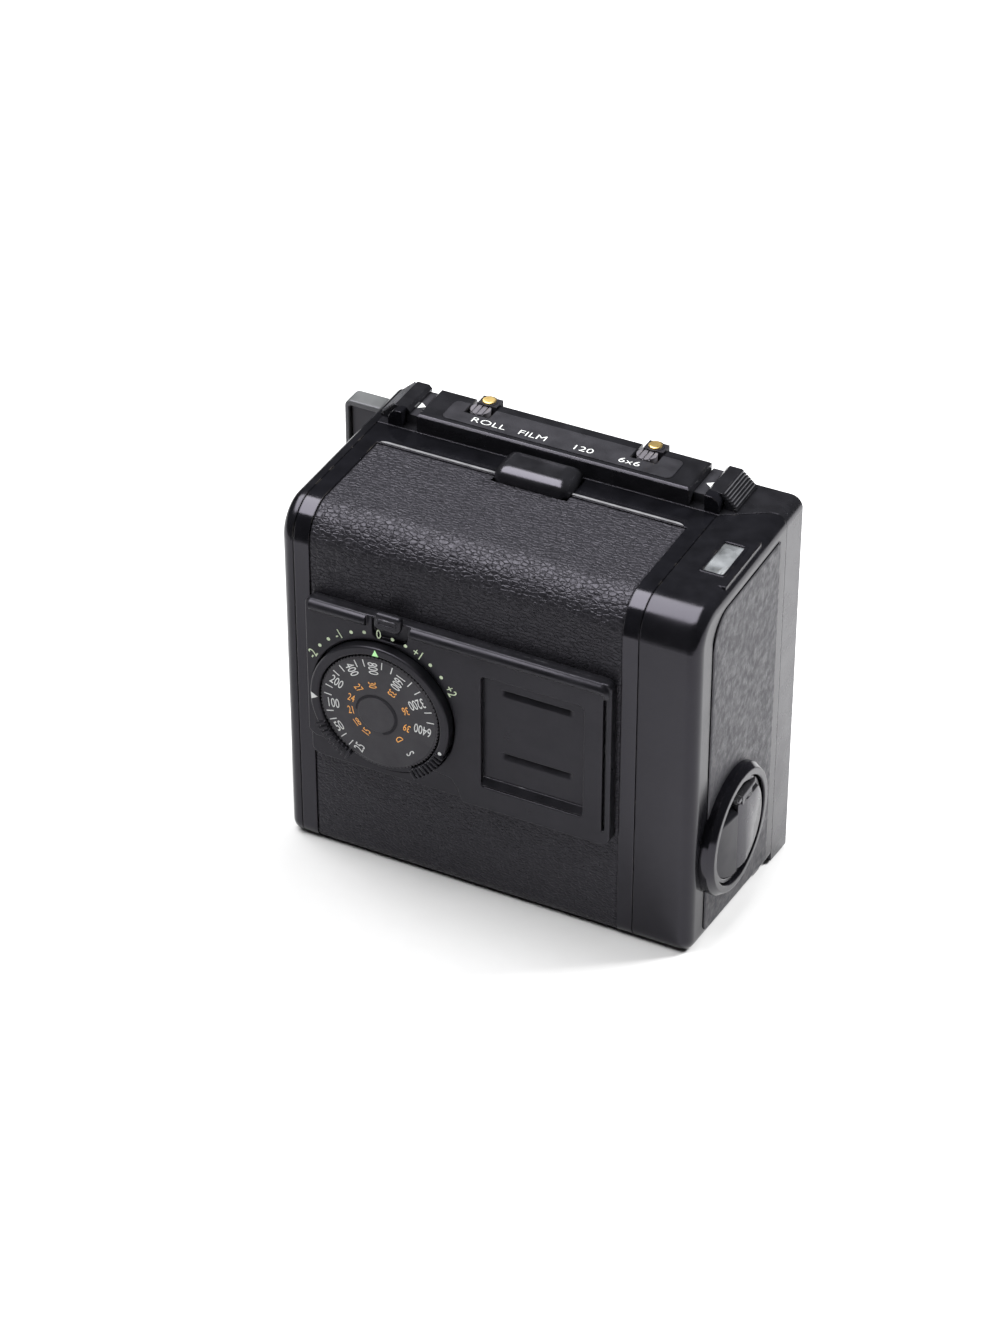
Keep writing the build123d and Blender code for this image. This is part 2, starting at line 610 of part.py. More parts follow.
def gear(teeth, y, z, phase, bore):
    """A spur wheel on an X axis, with a tooth at the phase angle in the YZ plane."""
    root = gear_module * teeth / 2 - 1.15 * gear_module
    with BuildPart() as wheel:
        with BuildSketch(Plane.YZ.offset(gear_plane)):
            with Locations((y, z)):
                Circle(root)
                with PolarLocations(root, teeth, phase):
                    Polygon((-0.4, -0.95), (2.0, -0.34), (2.0, 0.34), (-0.4, 0.95), align=None)
                Circle(bore, mode=Mode.SUBTRACT)
        extrude(amount=gear_width)
    return wheel


takeup_gear = gear(teeth["takeup"], spool_y, lower_spool_z, 0.0, 2.0)
idler_gear = gear(teeth["idler"], idler_y, idler_z, idler_phase, arbor + 0.05)
camera_drive_gear = gear(teeth["camera"], drive_y, drive_z, drive_phase, arbor + 0.05)
transfer_gear = gear(teeth["transfer"], turn_y, turn_z, turn_phase, arbor + 0.05)
counter_gear = gear(teeth["counter"], count_y, count_z, count_phase, arbor + 0.05)

with BuildPart() as counter_drum:
    with BuildSketch(Plane.YZ.offset(gear_plane + gear_width)):
        with Locations((count_y, count_z)):
            Circle(8.6)
            Circle(arbor + 0.05, mode=Mode.SUBTRACT)
    extrude(amount=3.4)

with BuildPart() as gear_arbors:
    for y, z, end in ((idler_y, idler_z, 40.0), (turn_y, turn_z, 40.0), (count_y, count_z, 43.4)):
        rod((gear_x + 1.8, y, z), (1, 0, 0), arbor, end - gear_x - 1.8)
    rod((35.4, drive_y, drive_z), (1, 0, 0), arbor, 5.6)

# ----------------------------------------------------------------- film insert and film
insert_x = (gate_x - 34.0, gate_x + 34.0)
insert_sheet = 1.2
roller_y = 12.6
roller_z = (12.8, 75.2)
roller_radius = 2.8
socket = 3.2
with BuildPart() as insert_frame:
    for x in (insert_x[0], insert_x[1] - insert_sheet):
        with BuildSketch(Plane.YZ.offset(x)) as plate:
            Polygon((-15.4, 10.2), (15.6, 10.2), (15.6, 78.0), (-15.4, 78.0), align=None)
            fillet(vertices(), 3.0)
        extrude(plate.sketch, amount=insert_sheet)
    box((insert_x[0] + insert_sheet, insert_x[1] - insert_sheet), (9.0, 10.0), (17.5, 70.5))
    for z in (lower_spool_z, upper_spool_z):
        rod((insert_x[0] - 1, spool_y, z), (1, 0, 0), 3.12, 4, mode=Mode.SUBTRACT)
    rod((insert_x[1] - 3, spool_y, lower_spool_z), (1, 0, 0), 3.3, 5, mode=Mode.SUBTRACT)
    rod((gate_x + 30.2, spool_y, upper_spool_z), (1, 0, 0), socket - 0.06, 3.0)
    for z in roller_z:
        rod((insert_x[0] - 1, roller_y, z), (1, 0, 0), 0.8, 80, mode=Mode.SUBTRACT)

with BuildPart() as roller_axles:
    for z in roller_z:
        rod((insert_x[0], roller_y, z), (1, 0, 0), 0.8, insert_x[1] - insert_x[0])


def film_roller(z):
    """A free-running film guide roller."""
    with BuildPart() as roller:
        with BuildSketch(Plane.YZ.offset(gate_x - 31.5)):
            with Locations((roller_y, z)):
                Circle(roller_radius)
                Circle(0.85, mode=Mode.SUBTRACT)
        extrude(amount=63)
    return roller


roller_lower = film_roller(roller_z[0])
roller_upper = film_roller(roller_z[1])


def film_spool(z):
    """A 120 film spool with keyed ends."""
    start = gate_x - spool_length / 2
    with BuildPart() as spool:
        rod((start, spool_y, z), (1, 0, 0), core_radius, spool_length)
        for x in (start, start + spool_length - 1.0):
            rod((x, spool_y, z), (1, 0, 0), flange_radius, 1.0)
        for x in (start, start + spool_length - 5.0):
            rod((x, spool_y, z), (1, 0, 0), socket, 5.0, mode=Mode.SUBTRACT)
            box((x, x + 5.0), (spool_y - 4.6, spool_y + 4.6), (z - 0.75, z + 0.75),
                mode=Mode.SUBTRACT)
        box((gate_x - 20, gate_x + 20), (spool_y - 0.5, spool_y + 0.5), (z - 9, z + 9),
            mode=Mode.SUBTRACT)
    return spool


takeup_spool = film_spool(lower_spool_z)
supply_spool = film_spool(upper_spool_z)


def spool_stud(z):
    """A sprung stud that carries the left end of a spool."""
    with BuildPart() as stud:
        rod((insert_x[0] - 0.4, spool_y, z), (1, 0, 0), socket - 0.1, 3.9)
        rod((insert_x[0] - 1.9, spool_y, z), (1, 0, 0), 4.4, 1.5)
        fillet(faces().sort_by(Axis.X)[0].edges(), 0.4)
    return stud


spool_stud_lower = spool_stud(lower_spool_z)
spool_stud_upper = spool_stud(upper_spool_z)

with BuildPart() as pressure_plate:
    box((gate_x - 29.5, gate_x + 29.5), (14.3, 15.4), (17.0, 71.0))
    fillet(edges().filter_by(Axis.Y), 1.5)

leaf_radius = 30.0
with BuildPart() as pressure_springs:
    for x in (gate_x - 15, gate_x + 15):
        with BuildSketch(Plane.YZ.offset(x - 4)) as leaf:
            with Locations((14.28 - leaf_radius, gate_z)):
                Circle(leaf_radius)
                Circle(leaf_radius - 0.3, mode=Mode.SUBTRACT)
            with Locations((10.8 - 2 * leaf_radius, gate_z)):
                Rectangle(4 * leaf_radius, 3 * leaf_radius, mode=Mode.SUBTRACT)
        extrude(leaf.sketch, amount=8)

pieces = {
    "left_wall": left_wall, "front_frame": front_frame, "gear_housing": gear_housing,
    "gear_plate": gear_plate, "bottom_plate": bottom_plate,
    "side_leatherette": side_leatherette, "counter_window": counter_window,
    "crank_collar": crank_collar, "nameplate_block": nameplate_block,
    "nameplate_inlay": nameplate_inlay, "contact_blocks": contact_blocks,
    "contact_bases": contact_bases, "latch_plates": latch_plates, "base_feet": base_feet,
    "mount_lugs": mount_lugs, "frame_screws": frame_screws, "gate_seal": gate_seal,
    "slide_seal": slide_seal, "hinge_pin": hinge_pin, "gear_arbors": gear_arbors,
    "insert_frame": insert_frame, "roller_axles": roller_axles,
    "rear_cover": rear_cover, "cover_leather": cover_leather, "cover_trim": cover_trim,
    "dial_plate": dial_plate, "memo_pad": memo_pad, "dial_pivot": dial_pivot,
    "cover_release_button": cover_release_button, "cover_catch": cover_catch,
    "compensation_ring": compensation_ring, "film_speed_disc": film_speed_disc,
    "dial_hub_cap": dial_hub_cap, "lock_button": lock_button,
    "release_latch_left": release_latch_left, "latch_hook_left": latch_hook_left,
    "release_latch_right": release_latch_right, "latch_hook_right": latch_hook_right,
    "contact_pin_left": contact_pin_left, "contact_pin_right": contact_pin_right,
    "dark_slide_blade": dark_slide_blade, "dark_slide_handle": dark_slide_handle,
    "winding_knob": winding_knob, "knob_shaft": knob_shaft, "takeup_gear": takeup_gear,
    "crank_pin": crank_pin, "crank_handle": crank_handle,
    "idler_gear": idler_gear, "camera_drive_gear": camera_drive_gear,
    "transfer_gear": transfer_gear, "counter_gear": counter_gear,
    "counter_drum": counter_drum, "takeup_spool": takeup_spool,
    "supply_spool": supply_spool, "roller_lower": roller_lower,
    "roller_upper": roller_upper, "spool_stud_lower": spool_stud_lower,
    "spool_stud_upper": spool_stud_upper, "pressure_plate": pressure_plate,
    "pressure_springs": pressure_springs,
}
for label, piece in pieces.items():
    placed = piece.part.moved(Location((0, 0, -belly(0))))
    placed.label = label
    export_step(placed, f"parts/{label}.step")
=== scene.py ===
import bpy
import bmesh
import math
import numpy as np
from mathutils import Matrix, Vector


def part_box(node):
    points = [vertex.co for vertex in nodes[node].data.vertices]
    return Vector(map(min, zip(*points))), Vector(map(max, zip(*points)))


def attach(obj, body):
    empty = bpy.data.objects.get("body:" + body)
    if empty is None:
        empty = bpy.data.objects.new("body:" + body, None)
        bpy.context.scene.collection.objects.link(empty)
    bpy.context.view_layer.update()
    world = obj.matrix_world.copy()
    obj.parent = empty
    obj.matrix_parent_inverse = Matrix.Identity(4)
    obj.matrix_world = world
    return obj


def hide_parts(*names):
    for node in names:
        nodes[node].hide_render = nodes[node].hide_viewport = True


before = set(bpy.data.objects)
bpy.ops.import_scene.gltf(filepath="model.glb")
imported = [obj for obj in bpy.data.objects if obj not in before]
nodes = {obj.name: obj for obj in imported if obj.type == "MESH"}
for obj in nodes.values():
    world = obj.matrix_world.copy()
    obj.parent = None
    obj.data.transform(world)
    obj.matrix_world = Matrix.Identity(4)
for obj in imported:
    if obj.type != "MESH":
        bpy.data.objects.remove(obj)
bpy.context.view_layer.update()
scene = bpy.context.scene

# Sizes below are millimetres, with heights counted from the housing's lowest edge.
MM = 0.001
HALF_DEPTH = 24.8
TILT = math.radians(6.5)            # slope of the bottom, upwards to the rear
DROP = HALF_DEPTH * math.tan(TILT)  # how far the lowest edge is below the origin
TOP = 87.8
BACK = -HALF_DEPTH


def point(x, y, z):
    """A point given in millimetres above the lowest edge, in the frame's metres."""
    return Vector((x, y, z - DROP)) * MM


def belly(y):
    """Height of the sloping bottom at depth y."""
    return (HALF_DEPTH - y) * math.tan(TILT)


# ------------------------------------------------------------------------ materials
def finish(name, colour, rough, metal=0.0, grain=(), spread=0.25, edge_wear_and_glint=None, edge=0.25,
           rough_spread=0.12, specular=0.5, patches=260):
    """A procedural finish: colour and roughness vary, grain gives the bump, edges round and take an
    edge colour.

    grain is a list of (kind, scale per metre, height in metres) and edge_wear_and_glint is (colour,
    amount): real worn paint on most finishes, a painted highlight along the edges on the satin,
    button and latch-rib plastics.
    spread and rough_spread are shares of the colour and the roughness, edge is the radius of
    the edges in millimetres, and patches is the scale per metre of the colour's variation."""
    m = bpy.data.materials.new(name)
    m.use_nodes = True
    nt = m.node_tree
    nd, ln = nt.nodes, nt.links
    bsdf = nd["Principled BSDF"]
    bsdf.inputs["Metallic"].default_value = metal
    bsdf.inputs["Specular IOR Level"].default_value = specular
    bsdf.inputs["Specular Tint"].default_value = (1, 1, 1, 1) if metal else (0.90, 0.86, 1, 1)
    where = nd.new("ShaderNodeTexCoord").outputs["Object"]

    def noise(scale, detail=3.0, kind="noise"):
        if kind == "cells":
            t = nd.new("ShaderNodeTexVoronoi")
            t.feature = "SMOOTH_F1"
            out = "Distance"
        elif kind == "creases":
            t = nd.new("ShaderNodeTexVoronoi")
            t.feature = "DISTANCE_TO_EDGE"
            out = "Distance"
        else:
            t = nd.new("ShaderNodeTexNoise")
            t.inputs["Detail"].default_value = detail
            out = "Fac"
        t.inputs["Scale"].default_value = scale
        if kind in ("brushed", "creases"):
            s = nd.new("ShaderNodeMapping")
            s.inputs["Scale"].default_value = (0.04 if kind == "brushed" else 0.6, 1.0, 1.0)
            ln.new(where, s.inputs["Vector"])
            ln.new(s.outputs["Vector"], t.inputs["Vector"])
        else:
            ln.new(where, t.inputs["Vector"])
        return ramp(t.outputs[out], 0, 0.16, 0, 1) if kind == "creases" else t.outputs[out]

    def ramp(value, low, high, a, b):
        r = nd.new("ShaderNodeMapRange")
        r.inputs["From Min"].default_value = low
        r.inputs["From Max"].default_value = high
        r.inputs["To Min"].default_value = a
        r.inputs["To Max"].default_value = b
        ln.new(value, r.inputs["Value"])
        return r.outputs["Result"]

    def mix(fac, a, b):
        x = nd.new("ShaderNodeMix")
        x.data_type = "RGBA"
        ln.new(fac, x.inputs[0])
        for sock, value in ((x.inputs[6], a), (x.inputs[7], b)):
            if isinstance(value, bpy.types.NodeSocket):
                ln.new(value, sock)
            else:
                sock.default_value = (*value, 1.0)
        return x.outputs[2]

    dark = tuple(c * (1 - spread) for c in colour)
    light = tuple(min(1.0, c * (1 + spread)) for c in colour)
    paint = mix(ramp(noise(patches, 4), 0.3, 0.7, 0, 1), dark, light)
    roughness = ramp(noise(patches / 2, 5), 0.3, 0.7, max(0.02, rough - rough_spread * rough * 2),
                     rough + rough_spread * rough * 2)
    bevel = nd.new("ShaderNodeBevel")
    bevel.samples = 4
    bevel.inputs["Radius"].default_value = edge * MM
    normal = bevel.outputs["Normal"]
    # colour on the rounded edges: worn paint for the enamels, a painted highlight for the satin,
    # button and latch-rib plastics
    if edge_wear_and_glint:
        geo = nd.new("ShaderNodeNewGeometry")
        dot = nd.new("ShaderNodeVectorMath")
        dot.operation = "DOT_PRODUCT"
        ln.new(geo.outputs["Normal"], dot.inputs[0])
        ln.new(normal, dot.inputs[1])
        worn_and_lit_edge = ramp(dot.outputs["Value"], 0.995, 0.86, 0, 1)
        patch = ramp(noise(420, 6), 0.52, 0.72, 0, edge_wear_and_glint[1])
        both = nd.new("ShaderNodeMath")
        both.operation = "MULTIPLY"
        both.use_clamp = True
        ln.new(worn_and_lit_edge, both.inputs[0])
        ln.new(patch, both.inputs[1])
        paint = mix(both.outputs[0], paint, edge_wear_and_glint[0])
    ln.new(paint, bsdf.inputs["Base Color"])
    ln.new(roughness, bsdf.inputs["Roughness"])
    for kind, scale, height in grain:
        b = nd.new("ShaderNodeBump")
        b.inputs["Strength"].default_value = 1.0
        b.inputs["Distance"].default_value = height
        ln.new(noise(scale, 4, kind), b.inputs["Height"])
        ln.new(normal, b.inputs["Normal"])
        normal = b.outputs["Normal"]
    ln.new(normal, bsdf.inputs["Normal"])
    return m


BARE = (0.32, 0.29, 0.25)
gloss = finish("gloss_enamel", (0.0035, 0.0035, 0.0045), 0.14, grain=[("noise", 900, 3e-6)],
               edge_wear_and_glint=(BARE, 0.12), edge=0.35, specular=0.40)
# button plastic, with a pale edge colour that is a painted highlight along its edges
gloss_soft = finish("button_plastic", (0.0065, 0.0065, 0.0075), 0.22,
                    grain=[("noise", 2400, 5e-6)], edge_wear_and_glint=((0.2, 0.2, 0.2), 0.7), edge=0.12)
housing = finish("housing_enamel", (0.0042, 0.0042, 0.0052), 0.2,
                 grain=[("noise", 1500, 4e-6), ("noise", 240, 8e-6)], edge_wear_and_glint=(BARE, 0.15),
                 edge=0.4, specular=0.34)
semi = finish("frame_enamel", (0.006, 0.006, 0.007), 0.26, grain=[("noise", 2600, 5e-6)],
              edge_wear_and_glint=(BARE, 0.12), edge=0.3, specular=0.45)
# satin plastic, with a pale edge colour that is a painted highlight along its edges
satin = finish("satin_plastic", (0.0065, 0.0065, 0.0078), 0.36, grain=[("noise", 3800, 8e-6)],
               edge_wear_and_glint=((0.16, 0.16, 0.17), 0.9), edge=0.25, specular=0.3)
disc_black = finish("dial_plastic", (0.022, 0.0216, 0.0225), 0.42,
                    grain=[("noise", 4200, 8e-6)], edge=0.12, specular=0.35)
grain_grey = finish("grainy_grey", (0.011, 0.011, 0.0125), 0.55, specular=0.3,
                    grain=[("cells", 5200, 3e-5), ("noise", 6500, 2e-5)], spread=0.35)
leather_black = finish("leather_black", (0.0115, 0.0112, 0.0132), 0.38,
                       grain=[("creases", 1200, 8e-5), ("cells", 3600, 1.2e-5),
                              ("noise", 9000, 6e-6)],
                       spread=0.16, edge=0.02, rough_spread=0.15, specular=0.3, patches=1400)
side_black = finish("leather_side", (0.022, 0.022, 0.024), 0.46,
                    grain=[("creases", 1500, 2.5e-5), ("cells", 3600, 1.4e-5),
                           ("noise", 9000, 1e-5)],
                    spread=0.16, edge=0.02, rough_spread=0.15, specular=0.45, patches=1400)
handle_grey = finish("handle_grey", (0.064, 0.0665, 0.0665), 0.5, spread=0.12,
                     grain=[("noise", 3000, 1e-5)], edge_wear_and_glint=((0.3, 0.3, 0.3), 0.5))
handle_dark = finish("handle_dark", (0.014, 0.0146, 0.0146), 0.45,
                     grain=[("noise", 3400, 1.2e-5)])
crank_black = finish("crank_black", (0.013, 0.013, 0.014), 0.24,
                     grain=[("noise", 3400, 8e-6)], edge_wear_and_glint=((0.5, 0.5, 0.5), 0.9), edge=0.2,
                     specular=0.6)
# latch ridges: a black lightened, with pale edges, as a painted highlight on the ridges' tops
rib_lit_black = finish("latch_rib", (0.042, 0.042, 0.045), 0.35, grain=[("noise", 5000, 4e-6)],
                   edge_wear_and_glint=((0.25, 0.25, 0.25), 0.5), edge=0.1)
print_white = finish("print_white", (0.50, 0.51, 0.50), 0.6, spread=0.12,
                     grain=[("noise", 6000, 5e-6)], edge=0.01)
print_pale = finish("print_pale_green", (0.45, 0.53, 0.36), 0.6, spread=0.12,
                    grain=[("noise", 6000, 5e-6)], edge=0.01)
print_green = finish("print_green", (0.42, 0.80, 0.36), 0.6, spread=0.12,
                     grain=[("noise", 6000, 5e-6)], edge=0.01)
print_orange = finish("print_orange", (0.72, 0.33, 0.07), 0.6, spread=0.12,
                      grain=[("noise", 6000, 5e-6)], edge=0.01)
# black for print and the contact blocks, also used as painted shade in the hub groove
ink_and_groove_shade = finish("ink_and_groove_shade_black", (0.0015, 0.0015, 0.0018), 0.7, grain=[("noise", 3000, 5e-6)],
             edge=0.02)
steel = finish("brushed_steel", (0.52, 0.52, 0.53), 0.3, metal=1.0,
               grain=[("brushed", 9000, 4e-6)], spread=0.05, rough_spread=0.04)
dark_steel = finish("dark_steel", (0.16, 0.16, 0.17), 0.36, metal=1.0,
                    grain=[("brushed", 9000, 4e-6)], spread=0.05, rough_spread=0.04)
lip_metal = finish("lip_metal", (0.60, 0.60, 0.62), 0.24, metal=1.0,
                   grain=[("brushed", 7000, 3e-6)], spread=0.15)
trim_black = finish("trim_enamel", (0.12, 0.12, 0.125), 0.3, grain=[("noise", 5000, 4e-6)],
                    edge_wear_and_glint=((0.3, 0.28, 0.25), 0.6), edge=0.1)
chrome = finish("roller_chrome", (0.72, 0.72, 0.74), 0.1, metal=1.0,
                grain=[("noise", 800, 2e-6)], spread=0.06)
brass = finish("machined_brass", (0.62, 0.43, 0.17), 0.28, metal=1.0,
               grain=[("brushed", 8000, 4e-6)], spread=0.18)
gold = finish("gold_contact", (0.92, 0.66, 0.26), 0.42, metal=1.0,
              grain=[("noise", 2500, 8e-6)], spread=0.12)
felt = finish("seal_felt", (0.008, 0.008, 0.008), 0.95, grain=[("noise", 5000, 6e-5)],
              spread=0.4)
drum_white = finish("drum_white", (0.74, 0.74, 0.72), 0.5, grain=[("noise", 2500, 5e-6)],
                    spread=0.08)
spool_black = finish("spool_black", (0.02, 0.02, 0.021), 0.38, grain=[("noise", 1600, 8e-6)])


def clear(name, tint, rough, amount):
    """A clear or smoky moulding with faint swirls."""
    m = finish(name, tint, rough, grain=[("noise", 700, 6e-6)], spread=0.08)
    bsdf = m.node_tree.nodes["Principled BSDF"]
    bsdf.inputs["Transmission Weight"].default_value = amount
    bsdf.inputs["IOR"].default_value = 1.49
    return m


window_clear = finish("window_clear", (0.22, 0.23, 0.24), 0.04, grain=[("noise", 160, 1.6e-4)],
                      spread=0.95, patches=150)
window_clear.node_tree.nodes["Principled BSDF"].inputs["Alpha"].default_value = 0.45
smoky = clear("smoky_base", (0.10, 0.095, 0.105), 0.3, 0.2)

looks = {
    housing: ["left_wall", "gear_housing"],
    semi: ["front_frame", "bottom_plate", "base_feet", "nameplate_block"],
    gloss: ["rear_cover", "crank_collar", "latch_hook_left", "latch_hook_right"],
    leather_black: ["cover_leather", "side_leatherette"],
    satin: ["dial_plate", "memo_pad", "compensation_ring", "lock_button", "pressure_plate"],
    disc_black: ["film_speed_disc", "dial_hub_cap"],
    grain_grey: ["nameplate_inlay", "latch_plates"],
    smoky: ["contact_bases"],
    ink_and_groove_shade: ["contact_blocks"],
    handle_dark: ["dark_slide_handle"],
    crank_black: ["winding_knob", "crank_handle"],
    gloss_soft: ["cover_release_button", "release_latch_left", "release_latch_right"],
    trim_black: ["cover_trim"],
    lip_metal: ["insert_frame", "spool_stud_lower", "spool_stud_upper"],
    gold: ["contact_pin_left", "contact_pin_right"],
    felt: ["gate_seal", "slide_seal"],
    window_clear: ["counter_window"],
    drum_white: ["counter_drum"],
    brass: ["takeup_gear", "idler_gear", "transfer_gear", "counter_gear"],
    chrome: ["roller_lower", "roller_upper"],
    spool_black: ["takeup_spool", "supply_spool"],
    steel: ["mount_lugs", "frame_screws", "hinge_pin", "gear_plate", "gear_arbors",
            "roller_axles", "dial_pivot", "cover_catch", "knob_shaft", "crank_pin",
            "camera_drive_gear", "pressure_springs"],
    dark_steel: ["dark_slide_blade"],
}
for material, names in looks.items():
    for n in names:
        nodes[n].data.materials.clear()
        nodes[n].data.materials.append(material)


# ------------------------------------------------------------------ building pieces
def settle(obj, body, material, angle=40):
    """Gives a finished piece its material, smooth faces and body."""
    obj.data.materials.clear()
    obj.data.materials.append(material)
    obj.data.polygons.foreach_set("use_smooth", [True] * len(obj.data.polygons))
    obj.data.set_sharp_from_angle(angle=math.radians(angle))
    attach(obj, body)
    return obj


def loft(name, rings, body, material, angle=40):
    """A closed piece through rings of equally many points, capped at both ends."""
    n = len(rings[0])
    verts = [point(*p) for ring in rings for p in ring]
    faces = [(k * n + i, k * n + (i + 1) % n, (k + 1) * n + (i + 1) % n, (k + 1) * n + i)
             for k in range(len(rings) - 1) for i in range(n)]
    faces += [tuple(range(n))[::-1], tuple(range((len(rings) - 1) * n, len(rings) * n))]
    mesh = bpy.data.meshes.new(name)
    mesh.from_pydata(verts, [], faces)
    obj = bpy.data.objects.new(name, mesh)
    scene.collection.objects.link(obj)
    bm = bmesh.new()
    bm.from_mesh(mesh)
    bmesh.ops.recalc_face_normals(bm, faces=bm.faces)
    bm.to_mesh(mesh)
    bm.free()
    return settle(obj, body, material, angle)


def baked(obj):
    """The object as a plain mesh with its place in its vertices."""
    bpy.context.view_layer.update()
    graph = bpy.context.evaluated_depsgraph_get()
    mesh = bpy.data.meshes.new_from_object(obj.evaluated_get(graph))
    mesh.transform(obj.matrix_world)
    name = obj.name
    bpy.data.objects.remove(obj)
    out = bpy.data.objects.new(name, mesh)
    out.name = name
    scene.collection.objects.link(out)
    return out


def area(pts):
    """Area of a polygon, positive when it runs anticlockwise."""
    return sum(a[0] * b[1] - b[0] * a[1] for a, b in zip(pts, pts[1:] + pts[:1])) / 2


REAR = Matrix(((1, 0, 0), (0, 0, -1), (0, 1, 0)))      # plane seen from the rear: X, Z
UP = Matrix(((1, 0, 0), (0, 1, 0), (0, 0, 1)))         # plane seen from above: X, Y
TO_FRAME = Matrix.Translation((0, 0, -DROP * MM)) @ Matrix.Scale(MM, 4)


def slab(name, outlines, low, high, plane, bevel, body, material, steps=3, angle=40):
    """A plate between two depths with rounded edges: an outer outline, then any holes."""
    curve = bpy.data.curves.new(name, "CURVE")
    curve.dimensions = "2D"
    curve.fill_mode = "BOTH"
    curve.extrude = (high - low) / 2 - bevel
    curve.bevel_depth = bevel
    curve.bevel_resolution = steps
    curve.offset = -bevel
    for i, pts in enumerate(outlines):
        pts = [tuple(p) for p in pts]
        if (area(pts) > 0) != (i == 0):
            pts.reverse()
        spline = curve.splines.new("POLY")
        spline.points.add(len(pts) - 1)
        for p, (x, y) in zip(spline.points, pts):
            p.co = (x, y, 0, 1)
        spline.use_cyclic_u = True
    obj = bpy.data.objects.new(name, curve)
    scene.collection.objects.link(obj)
    place = plane.to_4x4() @ Matrix.Translation((0, 0, (low + high) / 2))
    obj.matrix_world = TO_FRAME @ place
    return settle(baked(obj), body, material, angle)


def rounded(pts, radii, steps=7):
    """A polygon with its corners rounded; radii is one number or one per corner."""
    n = len(pts)
    if not hasattr(radii, "__len__"):
        radii = [radii] * n
    out = []
    for i, r in enumerate(radii):
        p = Vector(pts[i])
        a = (Vector(pts[i - 1]) - p).normalized()
        b = (Vector(pts[(i + 1) % n]) - p).normalized()
        half = a.angle(b) / 2
        if r < 1e-6:
            out.append((p.x, p.y))
            continue
        reach = r / math.tan(half)
        centre = p + (a + b).normalized() * (r / math.sin(half))
        start = p + a * reach - centre
        turn = start.angle_signed(p + b * reach - centre)
        for k in range(steps + 1):
            q = centre + Matrix.Rotation(-turn * k / steps, 2) @ start
            out.append((q.x, q.y))
    return out


def rect(x0, x1, y0, y1, r=0.0):
    return rounded([(x0, y0), (x1, y0), (x1, y1), (x0, y1)], r)


def arc(cx, cy, r, start, end, steps=48):
    return [(cx + r * math.cos(math.radians(start + (end - start) * k / steps)),
             cy + r * math.sin(math.radians(start + (end - start) * k / steps)))
            for k in range(steps + 1)]


def circle(cx, cy, r, steps=96):
    return arc(cx, cy, r, 0, 360, steps)[:-1]


def words(name, text, size, squeeze, x, y, turn, level, plane, body, material, slot, bold=0.0):
    """Printed characters centred on a point of a face, standing 0.02 mm proud of it."""
    curve = bpy.data.curves.new(name, "FONT")
    curve.body = text
    curve.size = size
    curve.align_x = "CENTER"
    curve.align_y = "CENTER"
    curve.extrude = 0.02
    curve.offset = bold
    curve.resolution_u = 3
    obj = bpy.data.objects.new(name, curve)
    scene.collection.objects.link(obj)
    place = (plane.to_4x4() @ Matrix.Translation((x, y, level))
             @ Matrix.Rotation(math.radians(turn), 4, "Z") @ Matrix.Diagonal((squeeze, 1, 1, 1)))
    obj.matrix_world = TO_FRAME @ place
    return settle(baked(obj), body, material, 30)


def joined(name, parts):
    """Several pieces of one body and finish made into one object."""
    first = parts[0]
    bm = bmesh.new()
    for p in parts:
        bm.from_mesh(p.data)
    bm.to_mesh(first.data)
    bm.free()
    for p in parts[1:]:
        bpy.data.objects.remove(p)
    first.name = name
    return first


# ---------------------------------------------------------------------- leather skins
def cell_field(u, v, size, seed):
    """Distance to the nearest and second nearest of jittered cell points, in cells."""
    rng = np.random.default_rng(seed)
    n = 64
    jx = rng.uniform(0.08, 0.92, (n, n))
    jy = rng.uniform(0.08, 0.92, (n, n))
    cu, cv = u / size, v / size
    iu, iv = np.floor(cu).astype(int), np.floor(cv).astype(int)
    first = np.full(u.shape, 9.0)
    second = np.full(u.shape, 9.0)
    for du in (-1, 0, 1):
        for dv in (-1, 0, 1):
            a, b = (iu + du) % n, (iv + dv) % n
            d = np.hypot(iu + du + jx[a, b] - cu, iv + dv + jy[a, b] - cv)
            second = np.where(d < first, first, np.minimum(second, d))
            first = np.minimum(first, d)
    return first, second


def smooth_noise(u, v, size, seed):
    """Soft value noise between -1 and 1."""
    rng = np.random.default_rng(seed)
    n = 64
    g = rng.uniform(-1, 1, (n, n))
    cu, cv = u / size, v / size
    iu, iv = np.floor(cu).astype(int), np.floor(cv).astype(int)
    fu, fv = cu - iu, cv - iv
    fu, fv = fu * fu * (3 - 2 * fu), fv * fv * (3 - 2 * fv)
    iu, iv, ju, jv = iu % n, iv % n, (iu + 1) % n, (iv + 1) % n
    return ((g[iu, iv] * (1 - fu) + g[ju, iv] * fu) * (1 - fv)
            + (g[iu, jv] * (1 - fu) + g[ju, jv] * fu) * fv)


def pebbles(u, v, size, seed):
    """Height of pebbled leather in millimetres: flat-topped cells between thin creases."""
    wu = u + 0.35 * size * smooth_noise(u, v, size * 1.7, seed + 1)
    wv = v + 0.35 * size * smooth_noise(u, v, size * 1.7, seed + 2)
    first, second = cell_field(wu, wv, size, seed)
    crease = np.clip((second - first) / 0.28, 0, 1)
    fine1, fine2 = cell_field(wu, wv, size * 0.45, seed + 3)
    fine = np.clip((fine2 - fine1) / 0.5, 0, 1)
    return (0.085 * (crease ** 0.6 - 1) + 0.035 * (fine - 1)
            + 0.02 * smooth_noise(u, v, size * 4, seed + 4))


